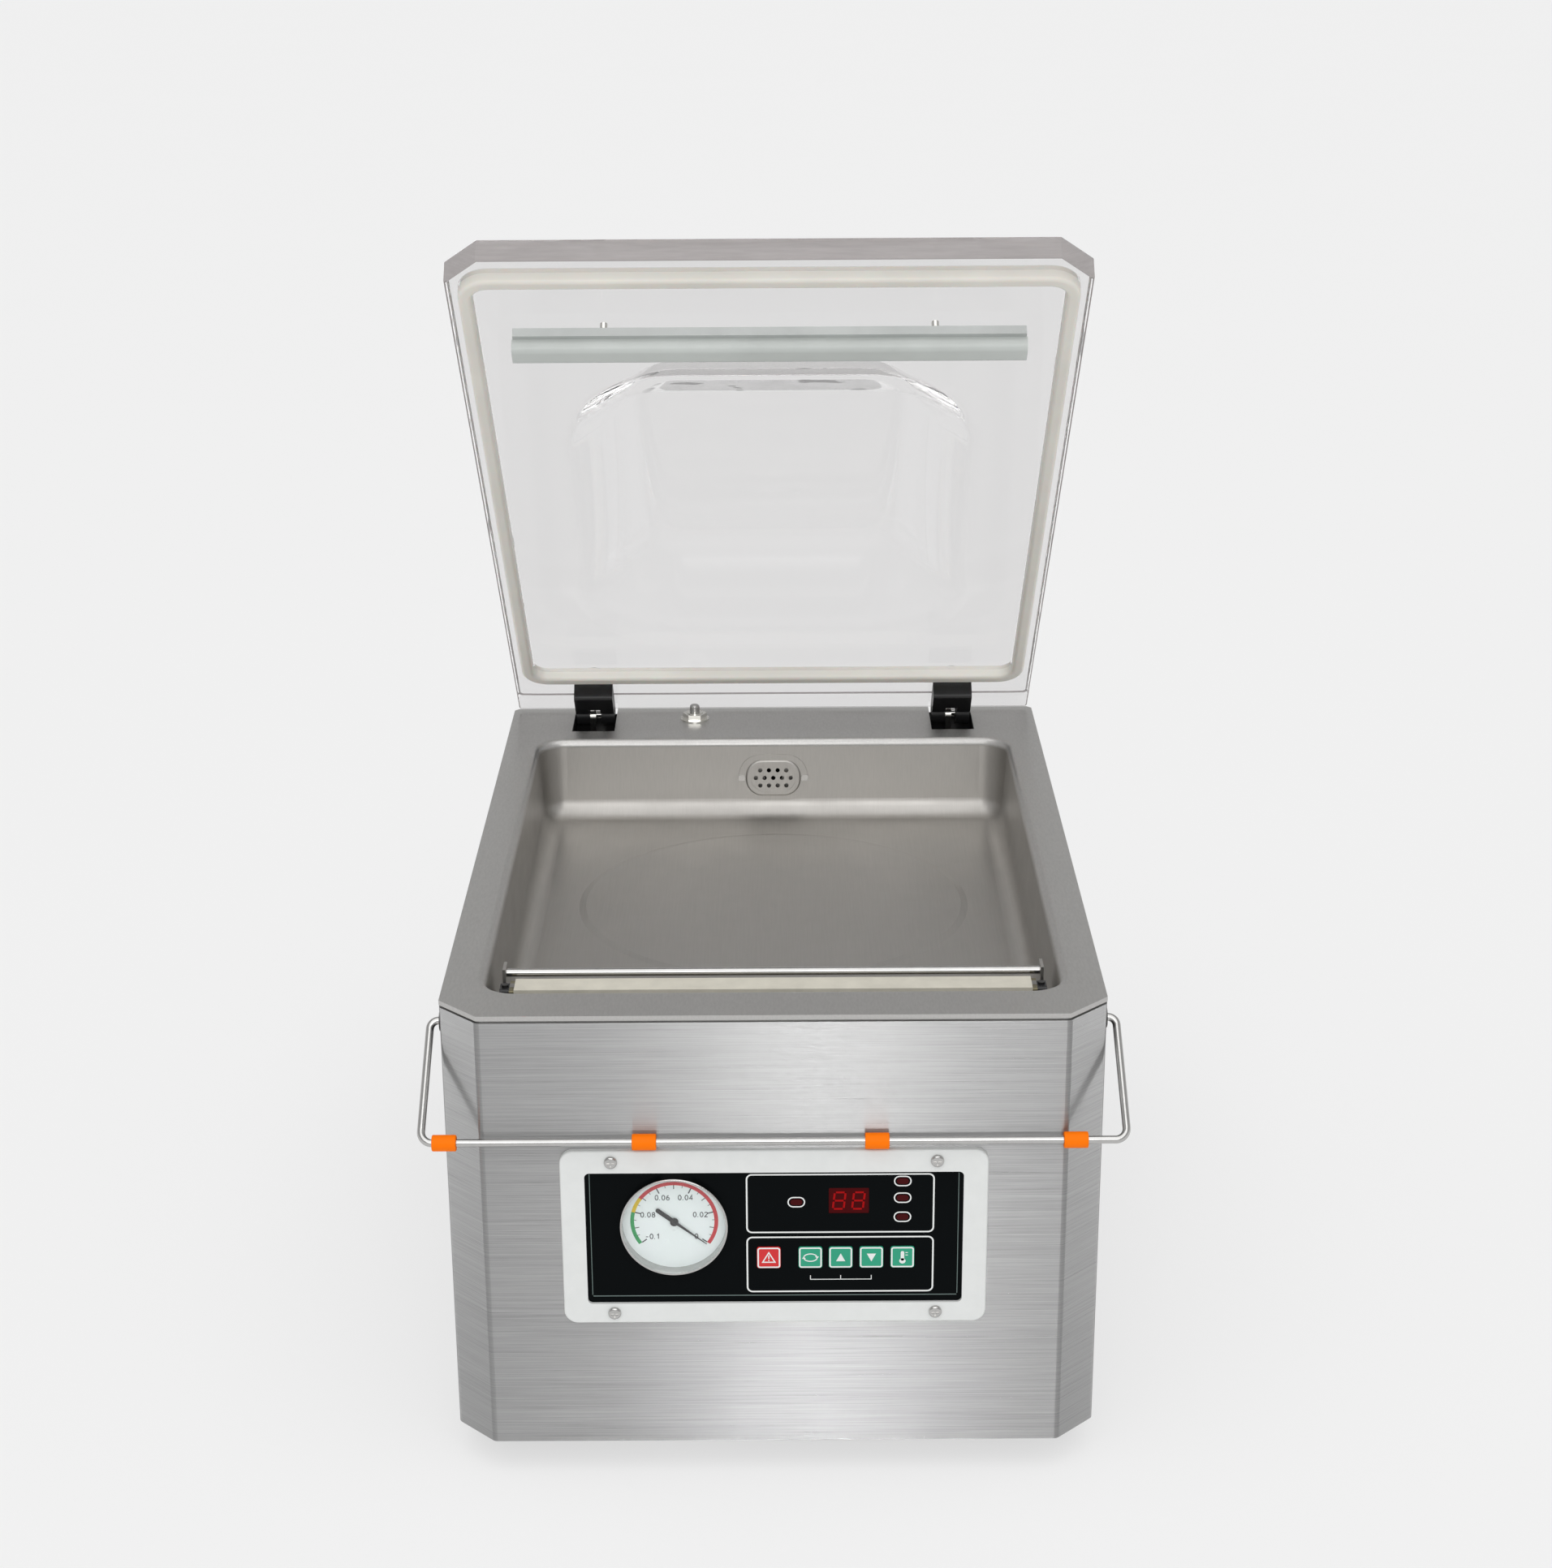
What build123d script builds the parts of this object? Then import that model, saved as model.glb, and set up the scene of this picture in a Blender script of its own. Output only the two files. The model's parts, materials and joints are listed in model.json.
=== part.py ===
from build123d import *
import os
from math import cos, radians, sin, sqrt, tan

# Table-top chamber vacuum packing machine, millimetres.
# +X is the user's right, +Y points to the back, +Z up.
# The origin is on the table, under the middle of the case.

# ---- case ----
CASE_W = 330.0
CASE_D = 480.0
CASE_CHAMFER = 20.0        # the two front uprights are cut off at 45 degrees
SHEET = 1.5
FOOT_H = 18.0
DECK_TOP = 258.0
DECK_T = 2.5
DECK_REVEAL = 1.2          # dark gap between the deck plate and the case wall
BEND_R = 4.0
CASE_TOP = DECK_TOP - DECK_T - DECK_REVEAL
BACK = CASE_D / 2
FRONT = -CASE_D / 2

# ---- chamber ----
TUB_W = 288.0              # at the rim; the draft brings it to 282 at the floor
TUB_L = 385.0
TUB_Y = -16.5              # centre of the chamber
TUB_R = 16.0
TUB_DEPTH = 48.0
TUB_DRAFT = 4.0            # degrees
TUB_FLOOR_R = 11.0
LIP_R = 4.5                # rolled edge where the deck turns down into the chamber
FLOOR_Z = DECK_TOP - TUB_DEPTH

# ---- lid, given closed; it is drawn open ----
PIVOT_Y = 228.0
PIVOT_Z = DECK_TOP
OPEN_DEG = 46.0
LID_GAP = 6.0              # deck to the lid's inner face when the lid is shut
LID_T = 13.0
LID_W = 324.0
LID_CHAMFER = 17.5
LID_REAR = PIVOT_Y + 4.0
LID_FRONT = -239.5
LID_IN = DECK_TOP + LID_GAP
LID_OUT = LID_IN + LID_T
DOME_W = 225.0
DOME_L = 270.0
DOME_Y = 12.0
DOME_R = 62.0
DOME_H = 45.0
DOME_WALL = 8.0
DOME_BEND = 12.0           # outer radius where the dome rises from the flat

# ---- hinges ----
HINGE_X = 112.5
BLOCK_W = 24.0
BLOCK_LEN = 32.0           # from the pivot towards the front, along the lid
BLOCK_T = 12.0
KNUCKLE_R = 7.0
SLOT_W = 7.0
SLOT_LEN = 17.0
LUG_T = 3.6
LUG_R = 5.6                # the lug stays under the lid's inner face as it swings
LUG_NOSE = 8.5
LUG_SHIFT = -1.5           # the lug stands against the slot's left cheek
PIN_R = 2.5
NOTCH_W = 26.5
NOTCH_FRONT = 194.5

# ---- sealing bar ----
BAR_Y = -175.0
BAR_HALF = 134.0
BAR_W = 14.0
BAR_H = 16.0
BAR_TOP = DECK_TOP - 11.4
SEAL_STROKE = 4.6

# ---- bail that locks the lid ----
WIRE_R = 2.0
BAIL_PIVOT_Y = -211.0
BAIL_PIVOT_Z = DECK_TOP - 15.0
BAIL_BAR_Y = -244.8
BAIL_BAR_Z = DECK_TOP - 66.0
SLEEVE_R = 4.1
SLEEVE_LEN = 12.0
SLEEVES_X = (-162.6, -64.0, 51.0, 149.0)

# ---- control panel ----
PANEL_Z = 137.5
BEZEL_W = 213.0
BEZEL_H = 97.0
BEZEL_T = 3.0
WINDOW_W = 188.6
WINDOW_H = 73.6
PLATE_FRONT = FRONT - 1.5  # the black plate lies 1.5 mm behind the bezel's face
PLATE_T = 3.0
GAUGE_X = -50.2
GAUGE_Z = 144.2
GAUGE_R = 27.0
GAUGE_PROUD = 3.4          # the ring's front, ahead of the black plate
DIAL_DEPTH = 4.2           # the dial's face, behind the front of the black plate
GAUGE_WALL = 0.8
BUTTON = 12.0
BUTTON_Z = 125.5
BUTTON_TRAVEL = 0.8
BUTTONS = {"button_stop": -2.9, "button_set": 18.0, "button_up": 33.2,
           "button_down": 48.6, "button_heat": 64.2}
LEDS = ((11.0, 156.5), (64.0, 168.0), (64.0, 158.7), (64.0, 148.0))
DISPLAY_X = 37.2
DISPLAY_Z = 157.2


# ---- helpers ----
def box(x0, x1, y0, y1, z0, z1):
    return Pos((x0 + x1) / 2, (y0 + y1) / 2, (z0 + z1) / 2) * Box(x1 - x0, y1 - y0, z1 - z0)


def rod_x(x0, x1, y, z, r):
    return Pos((x0 + x1) / 2, y, z) * Rot(0, 90, 0) * Cylinder(r, x1 - x0)


def rod_y(x, y0, y1, z, r):
    return Pos(x, (y0 + y1) / 2, z) * Rot(90, 0, 0) * Cylinder(r, y1 - y0)


def rod_z(x, y, z0, z1, r):
    return Pos(x, y, (z0 + z1) / 2) * Cylinder(r, z1 - z0)


def front_plate(w, h, r, x, z, y0, y1):
    """A rounded rectangle standing upright, from y0 back to y1."""
    face = Plane(origin=(x, y1, z), x_dir=(1, 0, 0), z_dir=(0, -1, 0)) * RectangleRounded(w, h, r)
    return extrude(face, y1 - y0)


def solids(*shapes):
    """Separate solids of one node."""
    return Compound(children=[s for shape in shapes for s in shape.solids()])


def footprint(inset=0.0, rear_cut=0.0):
    """The case's outline: a rectangle with its two front corners cut off."""
    x = CASE_W / 2 - inset
    y0 = FRONT + inset
    y1 = BACK - inset
    c = CASE_CHAMFER - inset * (2 - sqrt(2))
    k = rear_cut
    rear = [(x, y1 - k), (x - k, y1), (k - x, y1), (-x, y1 - k)] if k else [(x, y1), (-x, y1)]
    return Polygon([(-x, y0 + c), (c - x, y0), (x - c, y0), (x, y0 + c)] + rear)


def prism(face, z0, z1):
    return extrude(Pos(0, 0, z0) * face, z1 - z0)


def front_bends(solid, r):
    """Rounds the four upright bends at the front."""
    edges = solid.edges().filter_by(Axis.Z).filter_by(lambda e: e.center().Y < FRONT + CASE_CHAMFER + 4)
    return fillet(edges, r)


def opened(shape):
    """Swings a part of the lid from closed to its open rest place."""
    return shape.rotate(Axis((0, PIVOT_Y, PIVOT_Z), (1, 0, 0)), -OPEN_DEG)


def pan_screw(x, y, z, r, length):
    """A pan-head cross screw that points backwards; y is its head's seat."""
    head = rod_y(x, y - 1.7, y, z, r)
    head = fillet(head.edges().filter_by(GeomType.CIRCLE).sort_by(Axis.Y)[0], 1.2)
    cross = box(x - r * 0.6, x + r * 0.6, y - 2, y - 0.9, z - 0.35, z + 0.35)
    cross += box(x - 0.35, x + 0.35, y - 2, y - 0.9, z - r * 0.6, z + r * 0.6)
    return head - cross + rod_y(x, y, y + length, z, 1.45)


# ---- case ----
def case_shell():
    outer = front_bends(prism(footprint(), FOOT_H, CASE_TOP), BEND_R)
    inner = front_bends(prism(footprint(SHEET), FOOT_H, CASE_TOP), BEND_R - SHEET)
    shell = outer - inner
    shell -= box(-150, 150, BACK - 10, BACK + 1, FOOT_H, CASE_TOP)
    shell -= front_plate(196, 80, 4, 0, PANEL_Z, FRONT - 1, FRONT + SHEET + 1)
    shell -= rod_x(-CASE_W, CASE_W, BAIL_PIVOT_Y, BAIL_PIVOT_Z, 4.0)
    for x in (-157, 157):
        for z in (40, 230):
            shell -= rod_y(x, BACK - 3, BACK + 1, z, 1.5)
    return shell


def base_plate():
    tray = prism(footprint(SHEET), FOOT_H, FOOT_H + 14)
    tray = front_bends(tray, BEND_R - SHEET)
    hollow = front_bends(prism(footprint(2 * SHEET), FOOT_H + SHEET, FOOT_H + 15), 1.2)
    tray -= hollow
    for row in range(7):
        y = -110 + row * 14
        tray -= box(-120, -60, y, y + 5, FOOT_H - 1, FOOT_H + SHEET + 1)
        tray -= box(60, 120, y, y + 5, FOOT_H - 1, FOOT_H + SHEET + 1)
    for x, y in FEET:
        tray -= rod_z(x, y, FOOT_H - 1, FOOT_H + SHEET + 1, 2.6)
    return tray


FEET = [(sx * 128, sy * 190) for sx in (-1, 1) for sy in (-1, 1)]
REAR_Y = BACK - 2 * SHEET  # outer face of the rear panel, behind the case's return flanges
INLET_X = 95.0
INLET_Z = 62.0
SWITCH_X = 95.0
SWITCH_Z = 108.0
FUSE_X = 55.0


def rear_panel():
    y0 = REAR_Y
    y1 = REAR_Y + SHEET
    panel = box(-163.4, 163.4, y0, y1, FOOT_H + 14.2, CASE_TOP - 0.4)
    for side in (-1, 1):
        for row in range(9):
            z = 90 + row * 14
            x = side * 45 - 35
            panel -= box(x, x + 60, y0 - 1, y1 + 1, z, z + 5)
    panel -= front_plate(27.4, 20.4, 2, INLET_X, INLET_Z, y0 - 1, y1 + 1)
    panel -= front_plate(28.4, 21.4, 1, SWITCH_X + 20, SWITCH_Z, y0 - 1, y1 + 1)
    panel -= rod_y(FUSE_X, y0 - 1, y1 + 1, INLET_Z, 6.2)
    for hinge in (-HINGE_X, HINGE_X):
        panel -= box(hinge - 16, hinge + 16, y0 - 1, y1 + 1, DECK_TOP - 22, DECK_TOP)
    for x in (-157, 157):
        for z in (40, 230):
            panel -= rod_y(x, y0 - 1, y1 + 1, z, 1.5)
    return panel


def case_screws():
    heads = []
    for x in (-157, 157):
        for z in (40, 230):
            screw = pan_screw(x, 0, z, 3.2, 6)
            heads.append(screw.rotate(Axis((x, 0, z), (0, 0, 1)), 180).translate((0, BACK, 0)))
    return solids(*heads)


def rubber_feet():
    feet = []
    for x, y in FEET:
        foot = Pos(x, y, FOOT_H / 2) * Cone(14, 17, FOOT_H)
        foot -= rod_z(x, y, -1, 6, 6)
        foot += rod_z(x, y, FOOT_H, FOOT_H + 4, 2.5)
        feet.append(foot)
    return solids(*feet)


# ---- deck and chamber ----
def rounded_well(w, l, r, z0, z1):
    return prism(Pos(0, TUB_Y) * RectangleRounded(w, l, r), z0, z1)


def deck_plate():
    plate = prism(footprint(0, 3), DECK_TOP - DECK_T, DECK_TOP)
    flange = front_bends(prism(footprint(SHEET + 0.1), DECK_TOP - 14, DECK_TOP - DECK_T), BEND_R - SHEET)
    flange -= front_bends(prism(footprint(2 * SHEET), DECK_TOP - 15, DECK_TOP), 1.0)
    flange -= box(-CASE_W, CASE_W, BACK - 12, BACK + 1, DECK_TOP - 15, DECK_TOP)
    flange -= rod_x(-CASE_W, CASE_W, BAIL_PIVOT_Y, BAIL_PIVOT_Z, 6.2)
    w = TUB_W + 2 * LIP_R
    l = TUB_L + 2 * LIP_R
    plate += flange
    plate += rounded_well(w, l, TUB_R + LIP_R, DECK_TOP - LIP_R, DECK_TOP)
    plate -= rounded_well(TUB_W, TUB_L, TUB_R, DECK_TOP - 20, DECK_TOP + 1)
    rim = plate.edges().group_by(Axis.Z)[-1]
    rim = rim.filter_by(lambda e: abs(e.center().X) < TUB_W / 2 + 0.1)
    rim = rim.filter_by(lambda e: TUB_Y - TUB_L / 2 - 0.1 < e.center().Y < TUB_Y + TUB_L / 2 + 0.1)
    plate = fillet(rim, LIP_R - 0.2)
    for x in (-HINGE_X, HINGE_X):
        plate -= box(x - NOTCH_W / 2, x + NOTCH_W / 2, NOTCH_FRONT, BACK + 1, DECK_TOP - 10, DECK_TOP + 1)
    plate -= rod_z(SWITCH_PIN_X, SWITCH_PIN_Y, DECK_TOP - 10, DECK_TOP + 1, 5.1)
    return plate


SWITCH_PIN_X = -49.5
SWITCH_PIN_Y = 218.0
GRILLE_DROP = 24.0         # the suction grille's centre, below the deck


def tub_solid(inset):
    """The chamber's inner or outer form: straight-sided at the top edge, drafted down to the floor."""
    z = DECK_TOP - LIP_R
    w = TUB_W - 2 * inset
    l = TUB_L - 2 * inset
    depth = TUB_DEPTH - LIP_R - inset
    face = Pos(0, TUB_Y, z) * RectangleRounded(w, l, TUB_R - inset)
    form = extrude(face, -depth, taper=TUB_DRAFT)
    floor = form.edges().group_by(Axis.Z)[0]
    return fillet(floor, TUB_FLOOR_R - inset)


def wall_plane(drop):
    """The inner face of the chamber's rear wall at a given drop below the deck."""
    y = TUB_Y + TUB_L / 2 - (drop - LIP_R) * tan(radians(TUB_DRAFT))
    lean = radians(TUB_DRAFT)
    return Plane(origin=(0, y, DECK_TOP - drop), x_dir=(1, 0, 0), z_dir=(0, -cos(lean), sin(lean)))


def chamber_tub():
    tub = tub_solid(-SHEET) - tub_solid(0)
    tub += Pos(0, 26, FLOOR_Z + 0.2) * Cone(114, 108, 1.2)
    wall = wall_plane(GRILLE_DROP)
    tub += wall * extrude(RectangleRounded(34, 23, 11), -6)
    tub += wall * (Pos(0, 0, -11) * Cylinder(8, 20))
    tub -= wall * (Pos(0, 0, 1) * extrude(RectangleRounded(31, 20, 9.5), -6))
    tub -= wall * (Pos(0, 0, -11) * Cylinder(5.5, 24))
    for x in (-100, 100):
        tub -= rod_z(x, BAR_Y, FLOOR_Z - 5, FLOOR_Z + 5, 8.1)
    return tub


def suction_grille():
    wall = wall_plane(GRILLE_DROP)
    plate = extrude(RectangleRounded(42, 29, 13), 0.9) + extrude(RectangleRounded(34, 23, 10.5), 2.6)
    rim = plate.edges().group_by(Axis.Z)[-1]
    plate = fillet(rim, 1.2)
    plate -= extrude(RectangleRounded(29, 18, 8.5), 1.2)
    plate -= Pos(0, 0, 2.0) * extrude(RectangleRounded(27.6, 16.6, 7.8), 1)
    pitch = 5.4
    for row, count in ((-1, 4), (0, 5), (1, 4)):
        for i in range(count):
            x = (i - (count - 1) / 2) * pitch
            plate -= Pos(x, row * pitch * 0.9, 0) * Cylinder(1.35, 12)
    return wall * (Pos(0, 0, 0.05) * plate)


def grille_clips():
    wall = wall_plane(GRILLE_DROP)
    clips = []
    for side in (-1, 1):
        clip = Pos(side * 19.6, 0, 1.6) * Box(4.2, 3.4, 1.2)
        clips.append(wall * fillet(clip.edges().filter_by(Axis.Z), 0.8))
    return solids(*clips)


# ---- bag rod ----
ROD_Y = -163.0
ROD_Z = DECK_TOP - 10.0
ROD_R = 2.2
ROD_HALF = 138.0


def bag_rod():
    return rod_x(-ROD_HALF, ROD_HALF, ROD_Y, ROD_Z, ROD_R)


def rod_brackets():
    brackets = []
    for side in (-1, 1):
        x0 = ROD_HALF - 1.4
        strip = box(x0, x0 + 1.6, ROD_Y - 5, ROD_Y + 6, FLOOR_Z + 9, ROD_Z + 3.6)
        strip += box(x0 - 12, x0 + 1.6, ROD_Y - 5, ROD_Y + 6, FLOOR_Z + 9, FLOOR_Z + 10.4)
        strip += rod_z(x0 - 8, ROD_Y + 0.5, FLOOR_Z, FLOOR_Z + 9, 3)
        strip -= rod_x(x0 - 2, x0 + 4, ROD_Y, ROD_Z, ROD_R + 0.05)
        brackets.append(strip if side > 0 else mirror(strip, Plane.YZ))
    return solids(*brackets)


# ---- sealing bar ----
LIFT_X = (-100.0, 100.0)


def sealing_bar():
    bar = box(-BAR_HALF, BAR_HALF, BAR_Y - BAR_W / 2, BAR_Y + BAR_W / 2, BAR_TOP - BAR_H, BAR_TOP - 0.6)
    top = bar.edges().filter_by(Axis.X).group_by(Axis.Z)[-1]
    return fillet(top, 1.0)


def heating_wire():
    return box(-BAR_HALF, BAR_HALF, BAR_Y - 2.5, BAR_Y + 2.5, BAR_TOP - 0.6, BAR_TOP - 0.4)


def ptfe_tape():
    half = BAR_W / 2
    skin = 0.3
    tape = box(-BAR_HALF + 2.5, BAR_HALF - 2.5, BAR_Y - half - skin, BAR_Y + half + skin, BAR_TOP - 3, BAR_TOP)
    tape -= sealing_bar()
    tape -= heating_wire()
    return tape - box(-BAR_HALF, BAR_HALF, BAR_Y - half, BAR_Y + half, BAR_TOP - 4, BAR_TOP - 1.5)


def seal_end_blocks():
    blocks = []
    for side in (-1, 1):
        x0 = BAR_HALF
        block = box(x0, x0 + 5, BAR_Y - 5, BAR_Y + 5, BAR_TOP - BAR_H, BAR_TOP - 1)
        block = fillet(block.edges().filter_by(Axis.X).group_by(Axis.Z)[-1], 1.5)
        block += rod_z(x0 + 2.4, BAR_Y, BAR_TOP - 1, BAR_TOP + 0.2, 1.8)
        blocks.append(block if side > 0 else mirror(block, Plane.YZ))
    return solids(*blocks)


def lift_pistons():
    return solids(*[rod_z(x, BAR_Y, FLOOR_Z - 16, BAR_TOP - BAR_H, 5.0) for x in LIFT_X])


def lift_cylinders():
    """Two small air cylinders let into the chamber floor; they raise the sealing bar."""
    bodies = []
    for x in LIFT_X:
        body = rod_z(x, BAR_Y, FLOOR_Z - 28, FLOOR_Z - 1.6, 12)
        body += rod_z(x, BAR_Y, FLOOR_Z - 28, FLOOR_Z + 3, 8.0)
        body -= rod_z(x, BAR_Y, FLOOR_Z - 24, FLOOR_Z + 4, 5.06)
        body += rod_y(x, BAR_Y + 10, BAR_Y + 20, FLOOR_Z - 20, 3)
        bodies.append(body)
    return solids(*bodies)


# ---- lid ----
def lid_outline():
    x = LID_W / 2
    c = LID_CHAMFER
    pts = [(-x, LID_FRONT + c), (c - x, LID_FRONT), (x - c, LID_FRONT), (x, LID_FRONT + c)]
    return Polygon(pts + [(x, LID_REAR), (-x, LID_REAR)])


def dome(w, l, r, z, height, crown):
    """A raised form with 45 degree flanks; crown is the radius that rounds its upper edge."""
    base = Pos(0, DOME_Y, z) * RectangleRounded(w, l, r)
    form = extrude(base, height, taper=45)
    return fillet(form.edges().group_by(Axis.Z)[-1], crown)


def dome_rim(lid, z):
    """The edges where the dome meets the flat of the lid at height z."""
    rim = lid.edges().filter_by(lambda e: abs(e.center().Z - z) < 0.001 and abs(e.center().X) < DOME_W / 2 + 1)
    return rim.filter_by(lambda e: abs(e.center().Y - DOME_Y) < DOME_L / 2 + 1)


GASKET_W = 7.0
GASKET_H = 5.8
GASKET_OUT_X = 155.5
GASKET_FRONT = -229.5
GASKET_REAR = 189.5
GROOVE_DEPTH = 3.0
ANVIL_FRONT = -183.0
ANVIL_REAR = -167.0
ANVIL_HALF = 131.0
ANVIL_BASE_T = 5.0
PAD_DROP = 12.0            # from the lid's inner face to the sealing pad's face
ANVIL_SCREW_X = (-85.0, 85.0)
BLOCK_SCREW_Y = (PIVOT_Y - 13, PIVOT_Y - 26)


def gasket_ring(width, z0, z1):
    """A closed run with rounded corners; width spreads about the same centre line."""
    spread = (width - GASKET_W) / 2
    w = 2 * (GASKET_OUT_X + spread)
    l = GASKET_REAR - GASKET_FRONT + 2 * spread
    y = (GASKET_REAR + GASKET_FRONT) / 2
    r = 16 + spread
    ring = prism(Pos(0, y) * RectangleRounded(w, l, r), z0, z1)
    hole = prism(Pos(0, y) * RectangleRounded(w - 2 * width, l - 2 * width, r - width), z0 - 1, z1 + 1)
    return ring - hole


def lid_shell():
    outer_w = DOME_W - 3.4
    outer_l = DOME_L - 3.4
    lid = prism(lid_outline(), LID_IN, LID_OUT)
    lid += dome(outer_w, outer_l, DOME_R - 2, LID_OUT, DOME_H + DOME_WALL - LID_T, 30)
    lid = fillet(dome_rim(lid, LID_OUT), DOME_BEND)
    lid -= dome(DOME_W, DOME_L, DOME_R, LID_IN, DOME_H, 24)
    lid = fillet(dome_rim(lid, LID_IN), DOME_BEND + DOME_WALL / 2)
    lid -= gasket_ring(GASKET_W + 0.4, LID_IN - 1, LID_IN + GROOVE_DEPTH)
    for x in ANVIL_SCREW_X:
        lid -= rod_z(x, (ANVIL_FRONT + ANVIL_REAR) / 2, LID_IN - 1, LID_IN + 9, 2.05)
    for x in (-HINGE_X, HINGE_X):
        for y in BLOCK_SCREW_Y:
            lid -= rod_z(x, y, LID_IN - 1, LID_OUT + 1, 2.1)
            lid -= Pos(x, y, LID_OUT - 1.25) * Cone(2.1, 4.7, 2.6)
    return opened(lid)


def lid_gasket():
    ring = gasket_ring(GASKET_W, LID_IN - GASKET_H, LID_IN + GROOVE_DEPTH)
    lower = ring.edges().group_by(Axis.Z)[0]
    return opened(fillet(lower, 2.0))


def anvil_holder():
    bar = box(-ANVIL_HALF, ANVIL_HALF, ANVIL_FRONT, ANVIL_REAR, LID_IN - ANVIL_BASE_T, LID_IN)
    for x in ANVIL_SCREW_X:
        bar -= rod_z(x, (ANVIL_FRONT + ANVIL_REAR) / 2, LID_IN - 10, LID_IN + 1, 2.05)
        bar -= rod_z(x, (ANVIL_FRONT + ANVIL_REAR) / 2, LID_IN - 10, LID_IN - 2.4, 4.2)
    return opened(bar)


def anvil_pad():
    pad = box(-ANVIL_HALF - 0.5, ANVIL_HALF + 0.5, ANVIL_FRONT + 2.6, ANVIL_REAR,
              LID_IN - PAD_DROP, LID_IN - ANVIL_BASE_T)
    lower = pad.edges().filter_by(Axis.X).group_by(Axis.Z)[0]
    return opened(fillet(lower, 3.5))


def anvil_screws():
    screws = []
    for x in ANVIL_SCREW_X:
        y = (ANVIL_FRONT + ANVIL_REAR) / 2
        shank = rod_z(x, y, LID_IN - 4.6, LID_IN + 8.6, 2.0)
        screws.append(opened(shank + rod_z(x, y, LID_IN - 4.8, LID_IN - 2.4, 4.0)))
    return solids(*screws)


# ---- hinges ----
def hinge_blocks():
    """Two black blocks under the lid's rear edge; their knuckles are hollow for the lifting springs."""
    blocks = []
    for x in (-HINGE_X, HINGE_X):
        half = BLOCK_W / 2
        body = box(x - half, x + half, PIVOT_Y - BLOCK_LEN, PIVOT_Y, LID_IN - BLOCK_T, LID_IN)
        body = fillet(body.edges().filter_by(Axis.X).sort_by(Axis.Z)[0:1], 2.0)
        heel = box(x - half, x + half, PIVOT_Y - 12, PIVOT_Y + 1, LID_IN - BLOCK_T - 1, PIVOT_Z)
        body = body - heel
        body += rod_x(x - half, x + half, PIVOT_Y, PIVOT_Z, KNUCKLE_R)
        body += box(x - half, x + half, PIVOT_Y - KNUCKLE_R, PIVOT_Y + 3, PIVOT_Z, LID_IN)
        body -= box(x - SLOT_W / 2, x + SLOT_W / 2, PIVOT_Y - SLOT_LEN, PIVOT_Y + 9,
                    LID_IN - BLOCK_T - 2, LID_IN + 1)
        body -= box(x - half - 1, x + half + 1, PIVOT_Y - 9, PIVOT_Y + 9, LID_IN, LID_IN + 2)
        for side in (-1, 1):
            a = x + side * (SLOT_W / 2 - 1)
            b = x + side * (half - 1.4)
            body -= rod_x(min(a, b), max(a, b), PIVOT_Y, PIVOT_Z, 5.2)
        body -= rod_x(x - half - 1, x + half + 1, PIVOT_Y, PIVOT_Z, PIN_R + 0.05)
        for y in BLOCK_SCREW_Y:
            body -= rod_z(x, y, LID_IN - 9, LID_IN + 1, 1.75)
        blocks.append(opened(body))
    return solids(*blocks)


def hinge_screws():
    screws = []
    for x in (-HINGE_X, HINGE_X):
        for y in BLOCK_SCREW_Y:
            head = Pos(x, y, LID_OUT - 1.3) * Cone(2.0, 4.5, 2.4)
            shank = rod_z(x, y, LID_IN, LID_OUT - 1.3, 2.0) + rod_z(x, y, LID_IN - 4.4, LID_IN, 1.7)
            recess = Pos(x, y, LID_OUT - 0.8) * extrude(RegularPolygon(1.5, 6), 2)
            screws.append(opened(head + shank - recess))
    return solids(*screws)


POCKET_FLOOR = DECK_TOP - 17.0


def hinge_housings():
    """Black pockets under the deck's notches; the lid's hinge blocks fold into them."""
    pockets = []
    for x in (-HINGE_X, HINGE_X):
        half = NOTCH_W / 2
        body = box(x - half - 2, x + half + 2, NOTCH_FRONT - 2, REAR_Y - 0.4, POCKET_FLOOR - 2, DECK_TOP - DECK_T)
        body -= box(x - half, x + half, NOTCH_FRONT, REAR_Y - 1.5, POCKET_FLOOR, DECK_TOP)
        pockets.append(body)
    return solids(*pockets)


def hinge_lugs():
    lugs = []
    for x in (-HINGE_X, HINGE_X):
        cx = x + LUG_SHIFT
        lug = box(cx - LUG_T / 2, cx + LUG_T / 2, PIVOT_Y - LUG_NOSE, PIVOT_Y + LUG_R,
                  POCKET_FLOOR, PIVOT_Z + LUG_R)
        lug = fillet(lug.edges().filter_by(Axis.X).group_by(Axis.Z)[-1], LUG_R - 0.2)
        lug += box(cx - LUG_T / 2, cx + 6, PIVOT_Y - 6, PIVOT_Y + LUG_R, POCKET_FLOOR, POCKET_FLOOR + 2)
        lug -= rod_x(cx - LUG_T, cx + LUG_T, PIVOT_Y, PIVOT_Z, PIN_R)
        lugs.append(lug)
    return solids(*lugs)


def hinge_pins():
    half = BLOCK_W / 2
    return solids(*[rod_x(x - half + 0.1, x + half - 0.1, PIVOT_Y, PIVOT_Z, PIN_R)
                    for x in (-HINGE_X, HINGE_X)])


def lid_springs():
    """One torsion spring in each hollow knuckle, around the hinge pin."""
    wire = 0.7
    pitch = 1.7
    turns = 3.0
    coils = []
    for x in (-HINGE_X, HINGE_X):
        for side in (-1, 1):
            start = x + side * (SLOT_W / 2 + 1.0)
            helix = Helix(pitch, pitch * turns, 3.9, center=(start, PIVOT_Y, PIVOT_Z), direction=(side, 0, 0))
            section = Plane(origin=helix @ 0, z_dir=helix % 0) * Circle(wire)
            coils.append(sweep(section, path=helix, is_frenet=True))
    return solids(*coils)


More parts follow.
